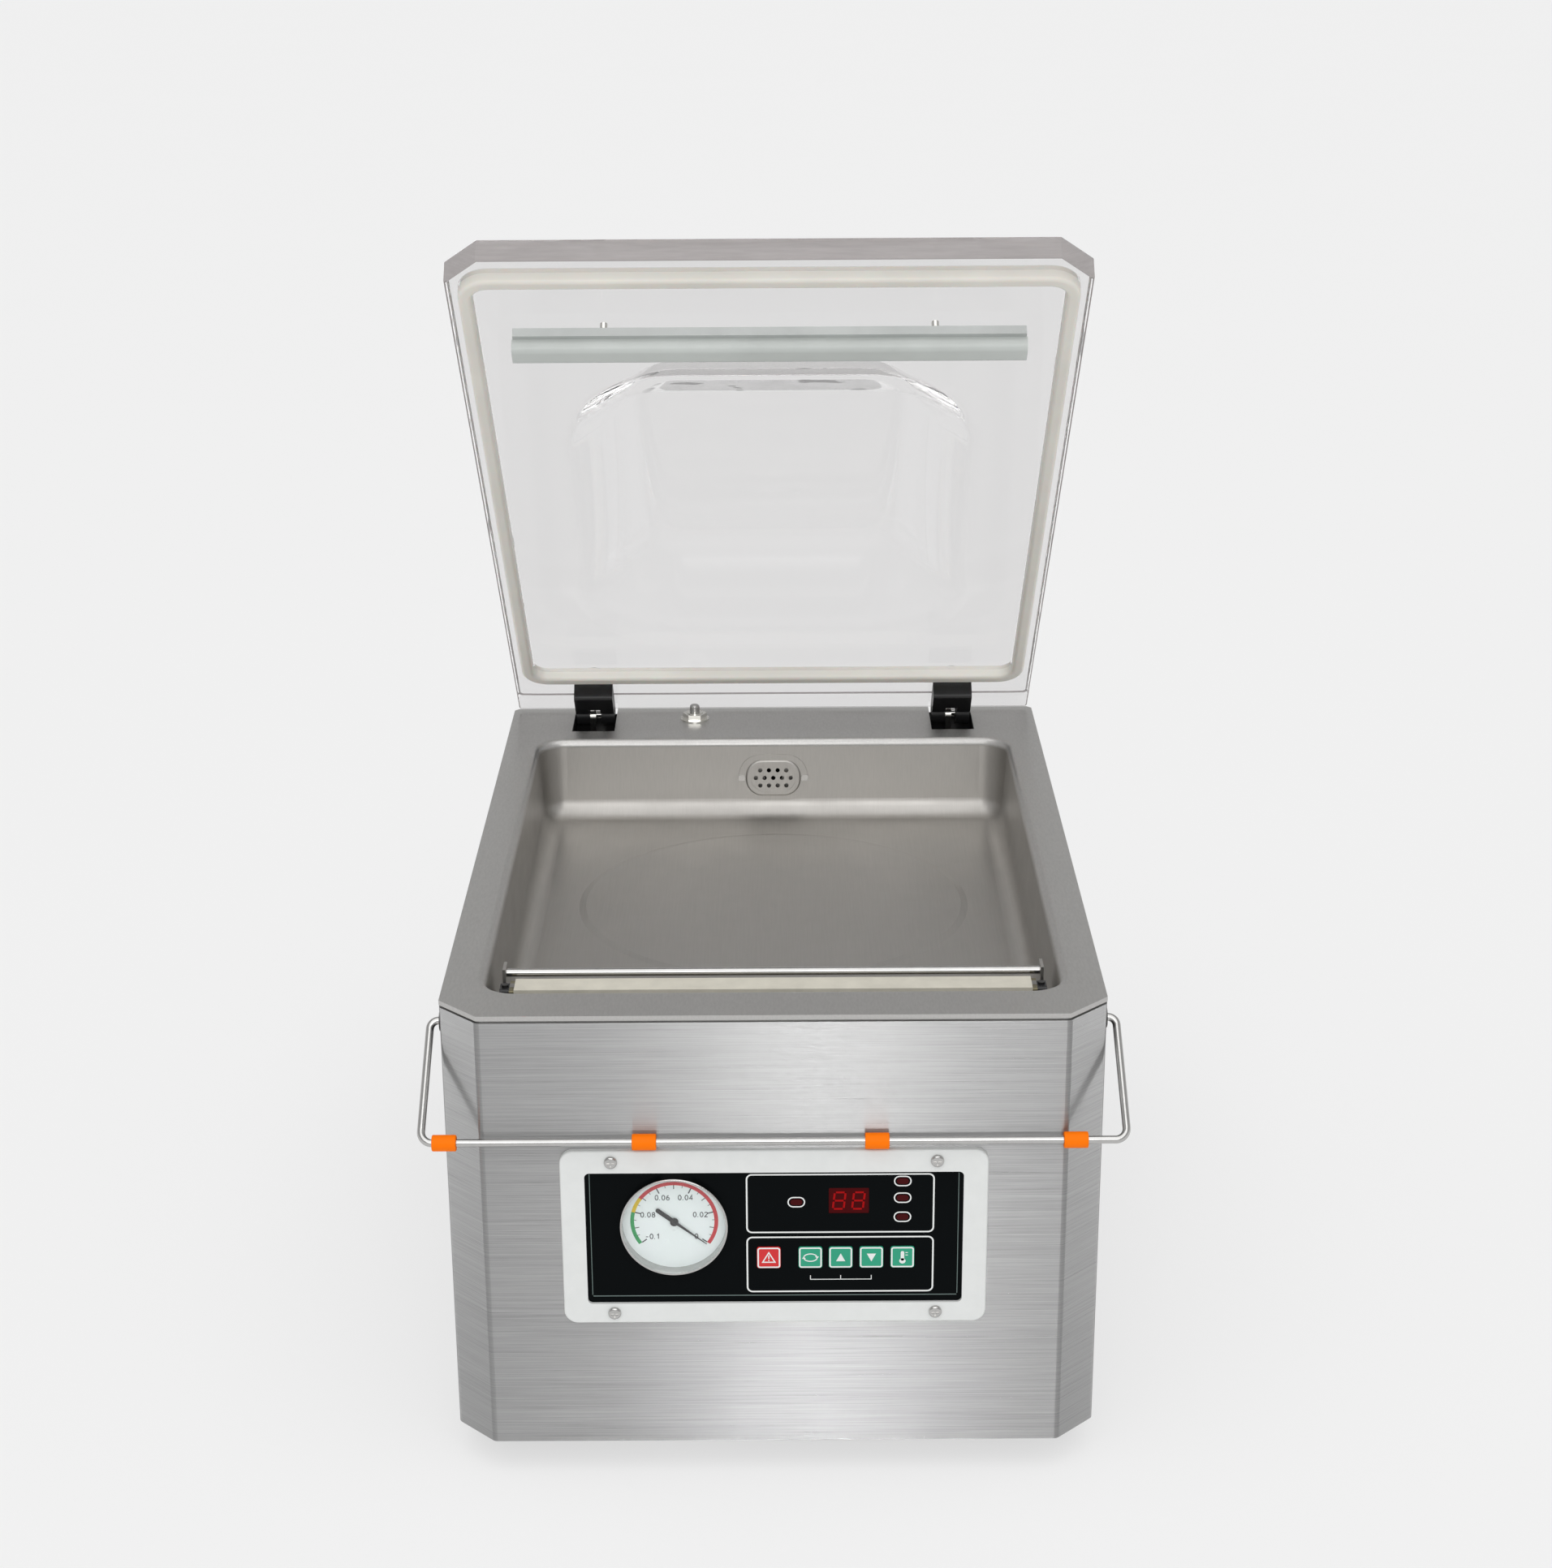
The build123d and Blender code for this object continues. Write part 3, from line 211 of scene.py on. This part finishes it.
LOOKS = {
    "stainless_case": brushed_case(),
    "stainless_deck": satin_deck(),
    "stainless_tub": pressed_tub(),
    "polished_steel": polished(),
    "zinc_steel": grained("zinc_steel", (0.78, 0.77, 0.73), 0.18, 1.0, 500),
    "clear_acrylic": clear_acrylic(),
    "cream_silicone": grained("cream_silicone", (0.72, 0.705, 0.65), 0.42, scale=260, share=0.04,
                              Subsurface_Weight=0.25, Subsurface_Scale=0.004),
    "orange_silicone": grained("orange_silicone", (1.0, 0.19, 0.0), 0.5, scale=900, share=0.02,
                               Specular_IOR_Level=0.1),
    "grey_silicone": grained("grey_silicone", (0.55, 0.58, 0.56), 0.35, scale=300, share=0.05),
    "black_rubber": grained("black_rubber", (0.025, 0.025, 0.025), 0.6),
    "black_moulded": grained("black_moulded", (0.014, 0.014, 0.015), 0.38, scale=1400),
    "grey_moulded": grained("grey_moulded", (0.75, 0.765, 0.755), 0.33, scale=1600, share=0.02,
                            depth=0.00001),
    "gloss_black_panel": grained("gloss_black_panel", (0.003, 0.004, 0.0045), 0.08, scale=300, depth=0.0,
                                 Specular_IOR_Level=0.03),
    "red_button": grained("red_button", (0.62, 0.012, 0.015), 0.22, scale=900, share=0.04, depth=0.00001),
    "teal_button": grained("teal_button", (0.012, 0.33, 0.19), 0.22, scale=900, share=0.04, depth=0.00001),
    "led_red": grained("led_red", (0.055, 0.002, 0.003), 0.18, scale=900, Specular_IOR_Level=0.1),
    "display_smoke": grained("display_smoke", (0.060, 0.0, 0.001), 0.12, scale=900, Specular_IOR_Level=0.08),
    "gauge_glass": gauge_glass(),
    "dial_white": grained("dial_white", (0.92, 1.0, 0.985), 0.45, scale=600, share=0.015, depth=0.0),
    "needle_black": grained("needle_black", (0.012, 0.012, 0.012), 0.4),
    "olive_bar": grained("olive_bar", (0.17, 0.15, 0.09), 0.35, 0.6, 500),
    "ptfe_cream": grained("ptfe_cream", (0.66, 0.63, 0.54), 0.45, scale=1300, share=0.06),
    "nichrome": grained("nichrome", (0.30, 0.29, 0.28), 0.4, 1.0),
    "anvil_aluminium": grained("anvil_aluminium", (0.48, 0.50, 0.49), 0.4, 0.3, 500),
    "cast_pump": grained("cast_pump", (0.10, 0.13, 0.15), 0.5, scale=300),
    "motor_paint": grained("motor_paint", (0.08, 0.10, 0.12), 0.4, scale=300),
    "core_steel": grained("core_steel", (0.12, 0.10, 0.09), 0.5, scale=300),
    "valve_aluminium": grained("valve_aluminium", (0.55, 0.55, 0.56), 0.35, 1.0, 400),
    "board_green": grained("board_green", (0.01, 0.09, 0.03), 0.35, scale=300),
    "spring_steel": polished("spring_steel", (0.35, 0.35, 0.35), 0.3),
}
SLOTS = {row["node"]: row["material_slot"] for row in frame["record"]["subparts"]}
for node, slot in SLOTS.items():
    NODES[node].data.materials.clear()
    NODES[node].data.materials.append(LOOKS[slot].material)


# ---------------------------------------------------------------- mesh helpers
def smooth_edges(bm, degrees=32):
    """Smooth shading, with a hard edge wherever two faces meet at more than the given angle."""
    bmesh.ops.recalc_face_normals(bm, faces=bm.faces)
    limit = math.radians(degrees)
    for edge in bm.edges:
        edge.smooth = len(edge.link_faces) == 2 and edge.calc_face_angle(0) < limit
    for face in bm.faces:
        face.smooth = True


def piece(name, bm, body, look, second=None):
    """Makes an object that moves with a CAD body; faces of material index 1 take the second look."""
    smooth_edges(bm)
    mesh = bpy.data.meshes.new(name)
    bm.to_mesh(mesh)
    bm.free()
    for each in (look, second):
        if each:
            mesh.materials.append(each.material)
    obj = bpy.data.objects.new(name, mesh)
    bpy.context.scene.collection.objects.link(obj)
    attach(obj, body)
    return obj


def loft(bm, rings):
    """Joins closed rings of equal point count, closes both ends, and gives back the faces of each band."""
    rows = [[bm.verts.new(p) for p in ring] for ring in rings]
    bands = []
    for a, b in zip(rows, rows[1:]):
        bands.append([bm.faces.new((a[k], a[k - 1], b[k - 1], b[k])) for k in range(len(a))])
    bm.faces.new(rows[0])
    bm.faces.new(rows[-1][::-1])
    return bands


# ---------------------------------------------------------------- lid
LID_IN, LID_OUT = 264.12 * MM, 277 * MM     # the underside clears the pad's holder by a hair
LID_HALF_W = span("lid_shell", X)[1] * MM
LID_REAR, LID_FRONT = 232 * MM, -239.5 * MM      # as it lies when it is shut
LID_REAR_R = 2 * MM
LID_CHAMFER = 17.5 * MM
CHAMFER_LOSS = 0.586           # 2 - sqrt(2): what a 45 degree chamfer loses when its outline is inset
LID_BEVEL = 0.9 * MM
PIVOT = Vector(JOINTS["lid_hinge"]["pos_m"])
OPEN_ANGLE = math.radians(JOINTS["lid_hinge"]["range_deg"][0])
DOME_Y = 12 * MM
DOME_INNER = (112.5 * MM, 135 * MM, 62 * MM)       # half width, half length and corner radius at the foot
DOME_OUTER = (110.8 * MM, 133.3 * MM, 60 * MM)
DOME_INNER_FLANK = (45 * MM, 16 * MM, 24 * MM)     # height, and the rounds at the foot and the crown
DOME_OUTER_FLANK = (40 * MM, 12 * MM, 30 * MM)
GROOVE = (155.7 * MM, 209.7 * MM, 16.2 * MM)       # for the gasket: half width, half length, corner radius
GROOVE_Y = -20 * MM
GROOVE_WIDTH, GROOVE_DEPTH = 7.4 * MM, 3 * MM
PAINTED_REFLECTION_Y = -220 * MM     # ahead of this the lid's whole edge carries the painted reflection, elsewhere only its bevels
CORNER_STEPS = 14


def rounded_ring(half_w, half_l, radius, y, z):
    """A rounded rectangle as a ring of points, given by its half sizes in metres."""
    ring = []
    for corner, (sx, sy) in enumerate(((1, 1), (-1, 1), (-1, -1), (1, -1))):
        cx, cy = sx * (half_w - radius), y + sy * (half_l - radius)
        for k in range(CORNER_STEPS + 1):
            turn = math.pi / 2 * (corner + k / CORNER_STEPS)
            ring.append(Vector((cx + radius * math.cos(turn), cy + radius * math.sin(turn), z)))
    return ring


def lid_outline(inset, z):
    """The lid's outline: small rounds at the rear corners, straight chamfers at the front ones."""
    half_w, rear, front = LID_HALF_W - inset, LID_REAR - inset, LID_FRONT + inset
    chamfer = LID_CHAMFER - CHAMFER_LOSS * inset
    ring = []
    for corner, (sx, sy) in enumerate(((1, 1), (-1, 1), (-1, -1), (1, -1))):
        for k in range(CORNER_STEPS + 1):
            share = k / CORNER_STEPS
            if sy > 0:
                turn = math.pi / 2 * (corner + share)
                x = sx * (half_w - LID_REAR_R) + LID_REAR_R * math.cos(turn)
                ring.append(Vector((x, rear - LID_REAR_R + LID_REAR_R * math.sin(turn), z)))
                continue
            run = share if sx < 0 else 1 - share
            ring.append(Vector((sx * (half_w - run * chamfer), front + (1 - run) * chamfer, z)))
    return ring


def flank(height, foot, crown, steps=9):
    """(inset, rise) pairs up a 45 degree flank, rounded at its foot and at its crown."""
    reach = math.tan(math.radians(22.5))
    rows = []
    for k in range(steps + 1):
        turn = math.radians(45) * k / steps
        rows.append((foot * (math.sin(turn) - reach), foot * (1 - math.cos(turn))))
    for k in range(steps + 1):
        turn = math.radians(45) * (1 - k / steps)
        rows.append((height + crown * (reach - math.sin(turn)), height - crown * (1 - math.cos(turn))))
    return rows


def dome_rings(half_w, half_l, radius, base, rows):
    return [rounded_ring(half_w - d, half_l - d, radius - d, DOME_Y, base + rise) for d, rise in rows]


def clear_lid():
    """The sheet, its gasket groove and the pressed dome as one closed skin, swung to the open angle."""
    bevel = LID_BEVEL
    rings = dome_rings(*DOME_OUTER, LID_OUT, flank(*DOME_OUTER_FLANK)[::-1])
    first_edge = len(rings)
    for inset, z in ((bevel, LID_OUT), (bevel * 0.3, LID_OUT - bevel * 0.3), (0, LID_OUT - bevel),
                     (0, LID_IN + bevel), (bevel * 0.3, LID_IN + bevel * 0.3), (bevel, LID_IN)):
        rings.append(lid_outline(inset, z))
    last_edge = len(rings) - 1
    half_w, half_l, radius = GROOVE
    for inset, depth in ((0, 0), (0, GROOVE_DEPTH), (GROOVE_WIDTH, GROOVE_DEPTH), (GROOVE_WIDTH, 0)):
        rings.append(rounded_ring(half_w - inset, half_l - inset, radius - inset, GROOVE_Y, LID_IN + depth))
    rings += dome_rings(*DOME_INNER, LID_IN, flank(*DOME_INNER_FLANK))
    bm = bmesh.new()
    upright_band = 2
    # The bevel bands all round, and the upright front edge, take the edge material whose colour is a painted
    # reflection.
    for k, band in enumerate(loft(bm, rings)[first_edge:last_edge]):
        for face in band:
            reflection_painted = k != upright_band or face.calc_center_median().y < PAINTED_REFLECTION_Y
            face.material_index = int(reflection_painted)
    swing = Matrix.Translation(PIVOT) @ Matrix.Rotation(OPEN_ANGLE, 4, "X") @ Matrix.Translation(-PIVOT)
    bmesh.ops.transform(bm, matrix=swing, verts=bm.verts)
    lid = piece("lid_clear", bm, "lid", LOOKS["clear_acrylic"], edge_reflection_paint())
    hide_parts("lid_shell")


clear_lid()


# ---------------------------------------------------------------- printed marks, and painted glints on the panel plate's edges
PLATE_FACE = span("panel_plate", Y)[0]     # millimetres, like the places of all printed marks below
BUTTON_FACE = span("button_set", Y)[0]
DIAL_BOSS = 0.3                            # three small bosses stand out from the dial's face
DIAL_FACE = span("gauge_dial", Y)[0] + DIAL_BOSS
DISPLAY_FACE = span("display_window", Y)[0]
INK = 0.07                                 # how far a printed mark stands out
SUNK = 0.03                                # how far its back reaches into the face


class Print:
    """Flat printed marks on an upright face, gathered into one mesh; sizes in millimetres."""

    def __init__(self, face):
        self.bm = bmesh.new()
        self.back, self.front = face + SUNK, face - INK

    def vert(self, p, y):
        return self.bm.verts.new((p.x * MM, y * MM, p.y * MM))

    def stroke(self, points, width, closed=False):
        """A line of even width with mitred joins."""
        points = [Vector(p) for p in points]
        count = len(points)
        rows = []
        for i, p in enumerate(points):
            before = points[i - 1] if closed or i else None
            after = points[(i + 1) % count] if closed or i < count - 1 else None
            into = (p - before).normalized() if before else (after - p).normalized()
            out = (after - p).normalized() if after else into
            mid = (into + out).normalized()
            side = Vector((-mid.y, mid.x)) * (width / 2 / max(0.35, mid.dot(out)))
            left, right = p + side, p - side
            corners = ((left, self.back), (right, self.back), (right, self.front), (left, self.front))
            rows.append([self.vert(q, y) for q, y in corners])
        for a, b in zip(rows, rows[1:] + (rows[:1] if closed else [])):
            for k in range(4):
                self.bm.faces.new((a[k], a[(k + 1) % 4], b[(k + 1) % 4], b[k]))
        if not closed:
            self.bm.faces.new(rows[0])
            self.bm.faces.new(rows[-1][::-1])
        return self

    def fill(self, points):
        """A filled outline."""
        points = [Vector(p) for p in points]
        back = [self.vert(p, self.back) for p in points]
        front = [self.vert(p, self.front) for p in points]
        for k in range(len(points)):
            n = (k + 1) % len(points)
            self.bm.faces.new((back[k], back[n], front[n], front[k]))
        self.bm.faces.new(front)
        self.bm.faces.new(back[::-1])
        return self

    def digits(self, text, x, z, height, width):
        """Plain stroke numerals, centred on x and z."""
        step = 0.78 * height
        left = x - step * sum(0.5 if c == "." else 1 for c in text) / 2
        for c in text:
            for line in NUMERALS[c]:
                spots = [(left + 0.09 * height + px * height, z + (pz - 0.5) * height) for px, pz in line]
                self.stroke(spots, width, closed=len(line) > 9)
            left += step * (0.5 if c == "." else 1)
        return self

    def done(self, name, body, look):
        return piece(name, self.bm, body, look)


def arc(cx, cz, rx, rz, start, end, steps):
    """Points on an ellipse between two angles in degrees."""
    turns = [math.radians(start + (end - start) * k / steps) for k in range(steps + 1)]
    return [(cx + rx * math.cos(t), cz + rz * math.sin(t)) for t in turns]


def loop(cx, cz, rx, rz, steps=16):
    return arc(cx, cz, rx, rz, 0, 360, steps)[:-1]


def rounded_box(x0, x1, z0, z1, r, steps=5):
    corners = ((x1 - r, z1 - r, 0), (x0 + r, z1 - r, 90), (x0 + r, z0 + r, 180), (x1 - r, z0 + r, 270))
    return [p for x, z, start in corners for p in arc(x, z, r, r, start, start + 90, steps)]


NUMERALS = {
    "0": [loop(0.3, 0.5, 0.25, 0.46)],
    "1": [[(0.12, 0.74), (0.34, 0.96), (0.34, 0.04)]],
    "2": [[(0.07, 0.74), (0.16, 0.92), (0.32, 0.96), (0.5, 0.86), (0.52, 0.66), (0.06, 0.05), (0.56, 0.05)]],
    "4": [[(0.43, 0.04), (0.43, 0.96), (0.04, 0.3), (0.58, 0.3)]],
    "6": [loop(0.3, 0.3, 0.24, 0.27), [(0.07, 0.38), (0.16, 0.72), (0.42, 0.96)]],
    "8": [loop(0.3, 0.27, 0.25, 0.24), loop(0.3, 0.73, 0.2, 0.22)],
    ".": [[(0.05, 0.02), (0.05, 0.13)]],
    "-": [[(0.1, 0.42), (0.5, 0.42)]],
}
WHITE_INK = grained("white_ink", (0.80, 0.82, 0.81), 0.45, scale=900, share=0.02, depth=0.0)
GREY_INK = grained("grey_ink", (0.04, 0.045, 0.05), 0.5, scale=900, share=0.03, depth=0.0)
GREEN_INK = grained("green_ink", (0.02, 0.36, 0.10), 0.5, scale=900, share=0.03, depth=0.0)
YELLOW_INK = grained("yellow_ink", (0.80, 0.56, 0.0), 0.5, scale=900, share=0.03, depth=0.0)
RED_INK = grained("red_ink", (0.62, 0.02, 0.03), 0.5, scale=900, share=0.03, depth=0.0)
GLOW_INK = grained("segment_red", (0.36, 0.001, 0.002), 0.3, scale=900, share=0.03, depth=0.0,
                   Specular_IOR_Level=0.1)
# painted highlight: the grey-green of the glint lines drawn along the black plate's bevelled edges
GLINT_INK = grained("plate_edge_glint", (0.13, 0.18, 0.17), 0.18, scale=900, share=0.05, depth=0.0)

GAUGE = (middle("gauge_bezel", X), middle("gauge_bezel", Z))
BAND_R, BAND_WIDTH = 21.1, 1.9
TICK_R = 20.2              # where all ticks end
TICKS = ((4, 17.2, 0.6), (2, 18.0, 0.42), (1, 19.0, 0.25))     # every so many steps: start radius, width
LABEL_R = (13.6, 14.6)     # the labels stand on an ellipse
LABEL_H, LABEL_WIDTH = 2.9, 0.42
SCALE_STEP = 0.005         # megapascals between two ticks
SCALE_STEPS = 20
ZERO_ANGLE = -36           # degrees from +X
DEGREES_PER_MPA = 2520
FRAME_X = (-13.7, 79.5)
FRAMES_Z = ((139.6, 171.9), (106.0, 136.8))
FRAME_R = 2.6
LEDS = ((11.0, 156.5), (64.0, 168.0), (64.0, 158.7), (64.0, 148.0))
BUTTONS = {name: middle(f"button_{name}", X) for name in ("stop", "set", "up", "down", "heat")}
BUTTON_Z = middle("button_set", Z)
BRACKET_Z = (112.8, 115.1)
DISPLAY_X, DISPLAY_Z = middle("display_window", X), middle("display_window", Z)
DIGIT_SHIFT = 4.8          # from the display's middle to the middle of a figure


def panel_print():
    """White frames round the two groups, pill rings round the lamps, and a bracket under three buttons."""
    ink = Print(PLATE_FACE)
    for low, top in FRAMES_Z:
        ink.stroke(rounded_box(*FRAME_X, low, top, FRAME_R), 0.8, closed=True)
    for x, z in LEDS:
        ink.stroke(rounded_box(x - 4.1, x + 4.1, z - 2.6, z + 2.6, 2.55), 0.62, closed=True)
    low, top = BRACKET_Z
    left, stem, right = BUTTONS["set"], BUTTONS["up"], BUTTONS["down"]
    ink.stroke([(left, top), (left, low), (right, low), (right, top)], 0.38)
    ink.stroke([(stem, low + 0.1), (stem, top)], 0.38)
    ink.done("panel_print", "cabinet", WHITE_INK)


def painted_edge_glints():
    """Painted glints: pale lines just inside the black plate's lower and upright edges stand in for light
    caught by its bevelled edge.
    """
    half_w = span("panel_plate", X)[1]
    low, top = span("panel_plate", Z)
    edge = Print(PLATE_FACE)
    edge.stroke([(2.5 - half_w, low + 3.5), (half_w - 2.5, low + 3.5)], 0.45)
    for x in (2.2 - half_w, half_w - 2.2):
        edge.stroke([(x, low + 4.2), (x, top - 1.0)], 0.35)
    edge.done("painted_edge_glints", "cabinet", GLINT_INK)


def display_digits():
    """Two unlit seven-segment figures behind the dark red window."""
    ink = Print(DISPLAY_FACE)
    w, h, lean, gap = 2.7, 4.6, 0.5, 0.55
    for x in (DISPLAY_X - DIGIT_SHIFT, DISPLAY_X + DIGIT_SHIFT):
        for z0, z1 in ((gap, h - gap), (-h + gap, -gap)):
            for side in (-1, 1):
                foot = (x + side * w + lean * z0 / h, DISPLAY_Z + z0)
                ink.stroke([foot, (x + side * w + lean * z1 / h, DISPLAY_Z + z1)], 1.0)
        for z in (-h, 0, h):
            middle = x + lean * z / h
            ink.stroke([(middle - w + gap, DISPLAY_Z + z), (middle + w - gap, DISPLAY_Z + z)], 1.0)
    ink.done("display_digits", "cabinet", GLOW_INK)


def button_marks():
    """The white border and sign on each button."""
    half = 5.35
    z = BUTTON_Z
    for name, x in BUTTONS.items():
        ink = Print(BUTTON_FACE)
        ink.stroke(rounded_box(x - half, x + half, z - half, z + half, 1.0), 0.75, closed=True)
        if name == "stop":
            ink.stroke([(x - 3.1, z - 2.5), (x + 3.1, z - 2.5), (x, z + 2.9)], 0.6, closed=True)
            ink.stroke([(x, z + 1.3), (x, z - 0.6)], 0.6)
            ink.stroke([(x, z - 1.2), (x, z - 1.8)], 0.6)
        if name == "set":
            ink.stroke(arc(x, z, 3.4, 2.1, 20, 165, 12), 0.55)
            ink.stroke(arc(x, z, 3.4, 2.1, 200, 345, 12), 0.55)
            ink.fill([(x + 2.3, z + 0.7), (x + 4.2, z + 0.6), (x + 3.4, z - 0.7)])
            ink.fill([(x - 2.3, z - 0.7), (x - 4.2, z - 0.6), (x - 3.4, z + 0.7)])
        if name == "up":
            ink.fill([(x - 2.3, z - 2.1), (x + 2.3, z - 2.1), (x, z + 2.3)])
        if name == "down":
            ink.fill([(x - 2.3, z + 2.1), (x, z - 2.3), (x + 2.3, z + 2.1)])
        if name == "heat":
            ink.fill(rounded_box(x - 0.9, x + 0.9, z - 2.0, z + 3.4, 0.85))
            ink.fill(loop(x, z - 2.1, 1.6, 1.5))
            ink.stroke([(x + 1.5, z + 2.6), (x + 2.7, z + 2.6)], 0.45)
            ink.stroke([(x + 1.5, z + 1.2), (x + 2.7, z + 1.2)], 0.45)
        ink.done(f"button_{name}_marks", f"button_{name}", WHITE_INK)


def dial_angle(value):
    """Where a value of the scale lies, in degrees."""
    return ZERO_ANGLE + DEGREES_PER_MPA * value


def dial_print():
    cx, cz = GAUGE
    bands = (("green", GREEN_INK, 166, 216), ("yellow", YELLOW_INK, 143, 166), ("red", RED_INK, -36, 143))
    for name, look, start, end in bands:
        band = Print(DIAL_FACE)
        band.stroke(arc(cx, cz, BAND_R, BAND_R, start, end, 60), BAND_WIDTH)
        band.done(f"dial_band_{name}", "cabinet", look)
    ink = Print(DIAL_FACE)
    for step in range(SCALE_STEPS + 1):
        turn = math.radians(dial_angle(step * SCALE_STEP))
        start, width = next((r, w) for every, r, w in TICKS if step % every == 0)
        ends = [(cx + r * math.cos(turn), cz + r * math.sin(turn)) for r in (start, TICK_R)]
        ink.stroke(ends, width)
    labels = (("0", 0.0), ("0.02", 0.02), ("0.04", 0.04), ("0.06", 0.06), ("0.08", 0.08), ("-0.1", 0.1))
    for text, value in labels:
        turn = math.radians(dial_angle(value))
        x, z = cx + LABEL_R[0] * math.cos(turn), cz + LABEL_R[1] * math.sin(turn)
        ink.digits(text, x, z, LABEL_H, LABEL_WIDTH)
    ink.done("dial_print", "cabinet", GREY_INK)


panel_print()
painted_edge_glints()
display_digits()
button_marks()
dial_print()


# ---------------------------------------------------------------- studio
def floor():
    size = 30.0
    mesh = bpy.data.meshes.new("studio_floor")
    corners = [(-size, -size, 0), (size, -size, 0), (size, size, 0), (-size, size, 0)]
    mesh.from_pydata(corners, [], [(0, 1, 2, 3)])
    obj = bpy.data.objects.new("studio_floor", mesh)
    bpy.context.scene.collection.objects.link(obj)
    look = Look("floor_paint", (0.3, 0.3, 0.3), 0.9, Emission_Color=(1, 1, 1, 1), Emission_Strength=0.605)
    look.put(look.shader, "Specular IOR Level", 0.0)
    mesh.materials.append(look.tint(look.noise(3), 0.004).material)


def area_light(name, where, aim, size, power):
    light = bpy.data.lights.new(name, "AREA")
    light.shape = "RECTANGLE"
    light.size, light.size_y = size
    light.energy = power
    obj = bpy.data.objects.new(name, light)
    obj.location = where
    obj.rotation_euler = (Vector(aim) - Vector(where)).to_track_quat("-Z", "Y").to_euler()
    bpy.context.scene.collection.objects.link(obj)
    return obj


def sun_light():
    """A very wide, soft sun from the front and above."""
    light = bpy.data.lights.new("soft_sun", "SUN")
    light.energy = 1.3
    light.angle = math.radians(70)
    obj = bpy.data.objects.new("soft_sun", light)
    obj.rotation_euler = Vector((0, 0.35, -0.94)).to_track_quat("-Z", "Y").to_euler()
    bpy.context.scene.collection.objects.link(obj)


def light_only(lamps, nodes):
    """Keeps the lamps' light on the given CAD nodes."""
    lit = bpy.data.collections.new("lit_" + nodes[0])
    for node in nodes:
        lit.objects.link(NODES[node])
    for lamp in lamps:
        lamp.light_linking.receiver_collection = lit


def case_lights():
    """The case's horizontal brushing draws each of its lamps out into an upright band."""
    low = area_light("band_low", (0.03, -1.9, 0.10), (0.03, -0.24, -0.04), (0.07, 0.1), 0.018)
    low.data.spread = math.radians(14)
    light_only([
        low,
        area_light("band_middle", (0.04, -1.9, 0.10), (0, 0, 0.12), (0.08, 0.3), 3.8),
        area_light("band_right", (0.38, -1.9, 0.12), (0.1, 0, 0.14), (0.40, 0.4), 1.1),
        area_light("chamfer_left", (-1.7, 0.0, 0.2), (-0.1, -0.2, 0.14), (0.6, 0.3), 3.2),
        area_light("chamfer_right", (1.7, 0.0, 0.2), (0.1, -0.2, 0.14), (0.6, 0.3), 3.6),
    ], ["case_shell"])


def world():
    """Grey surroundings, darker overhead, with a paler backdrop where the camera looks past the floor."""
    made = bpy.data.worlds.new("studio")
    made.use_nodes = True
    tree = made.node_tree
    back = tree.nodes["Background"]
    up = tree.nodes.new("ShaderNodeSeparateXYZ")
    tree.links.new(tree.nodes.new("ShaderNodeTexCoord").outputs["Generated"], up.inputs[0])
    fade = tree.nodes.new("ShaderNodeMapRange")
    fade.inputs["To Min"].default_value = 0.62
    fade.inputs["To Max"].default_value = 0.42
    tree.links.new(up.outputs["Z"], fade.inputs["Value"])
    tree.links.new(fade.outputs[0], back.inputs["Color"])
    seen = tree.nodes.new("ShaderNodeBackground")
    seen.inputs["Color"].default_value = (0.87, 0.87, 0.87, 1)
    rays = tree.nodes.new("ShaderNodeLightPath")
    mix = tree.nodes.new("ShaderNodeMixShader")
    tree.links.new(rays.outputs["Is Camera Ray"], mix.inputs[0])
    tree.links.new(back.outputs[0], mix.inputs[1])
    tree.links.new(seen.outputs[0], mix.inputs[2])
    tree.links.new(mix.outputs[0], tree.nodes["World Output"].inputs["Surface"])
    bpy.context.scene.world = made


def camera():
    """The view of the machine from in front and above, with a little upward shift of the frame."""
    data = bpy.data.cameras.new("camera")
    data.sensor_width = 36
    data.lens = 66.85
    data.shift_y = 0.0487
    data.clip_end = 100
    obj = bpy.data.objects.new("camera", data)
    pitch, yaw, roll = 0.369, -0.0013, -0.0061
    aim = Matrix.Rotation(-yaw, 4, "Z") @ Matrix.Rotation(math.pi / 2 - pitch, 4, "X")
    obj.matrix_world = Matrix.Translation((0.0036, -1.5342, 0.8392)) @ aim @ Matrix.Rotation(roll, 4, "Z")
    bpy.context.scene.collection.objects.link(obj)
    bpy.context.scene.camera = obj


floor()
world()
sun_light()
area_light("front_fill", (0.0, -2.3, 1.3), (0, 0, 0.2), (1.2, 0.8), 8)
case_lights()
light_only([area_light("tub_rear", (0.0, -2.2, 0.55), (0, 0.2, 0.23), (1.2, 0.3), 4.5)],
           ["chamber_tub", "suction_grille", "grille_clips"])
camera()
bpy.context.scene.view_settings.view_transform = "Standard"
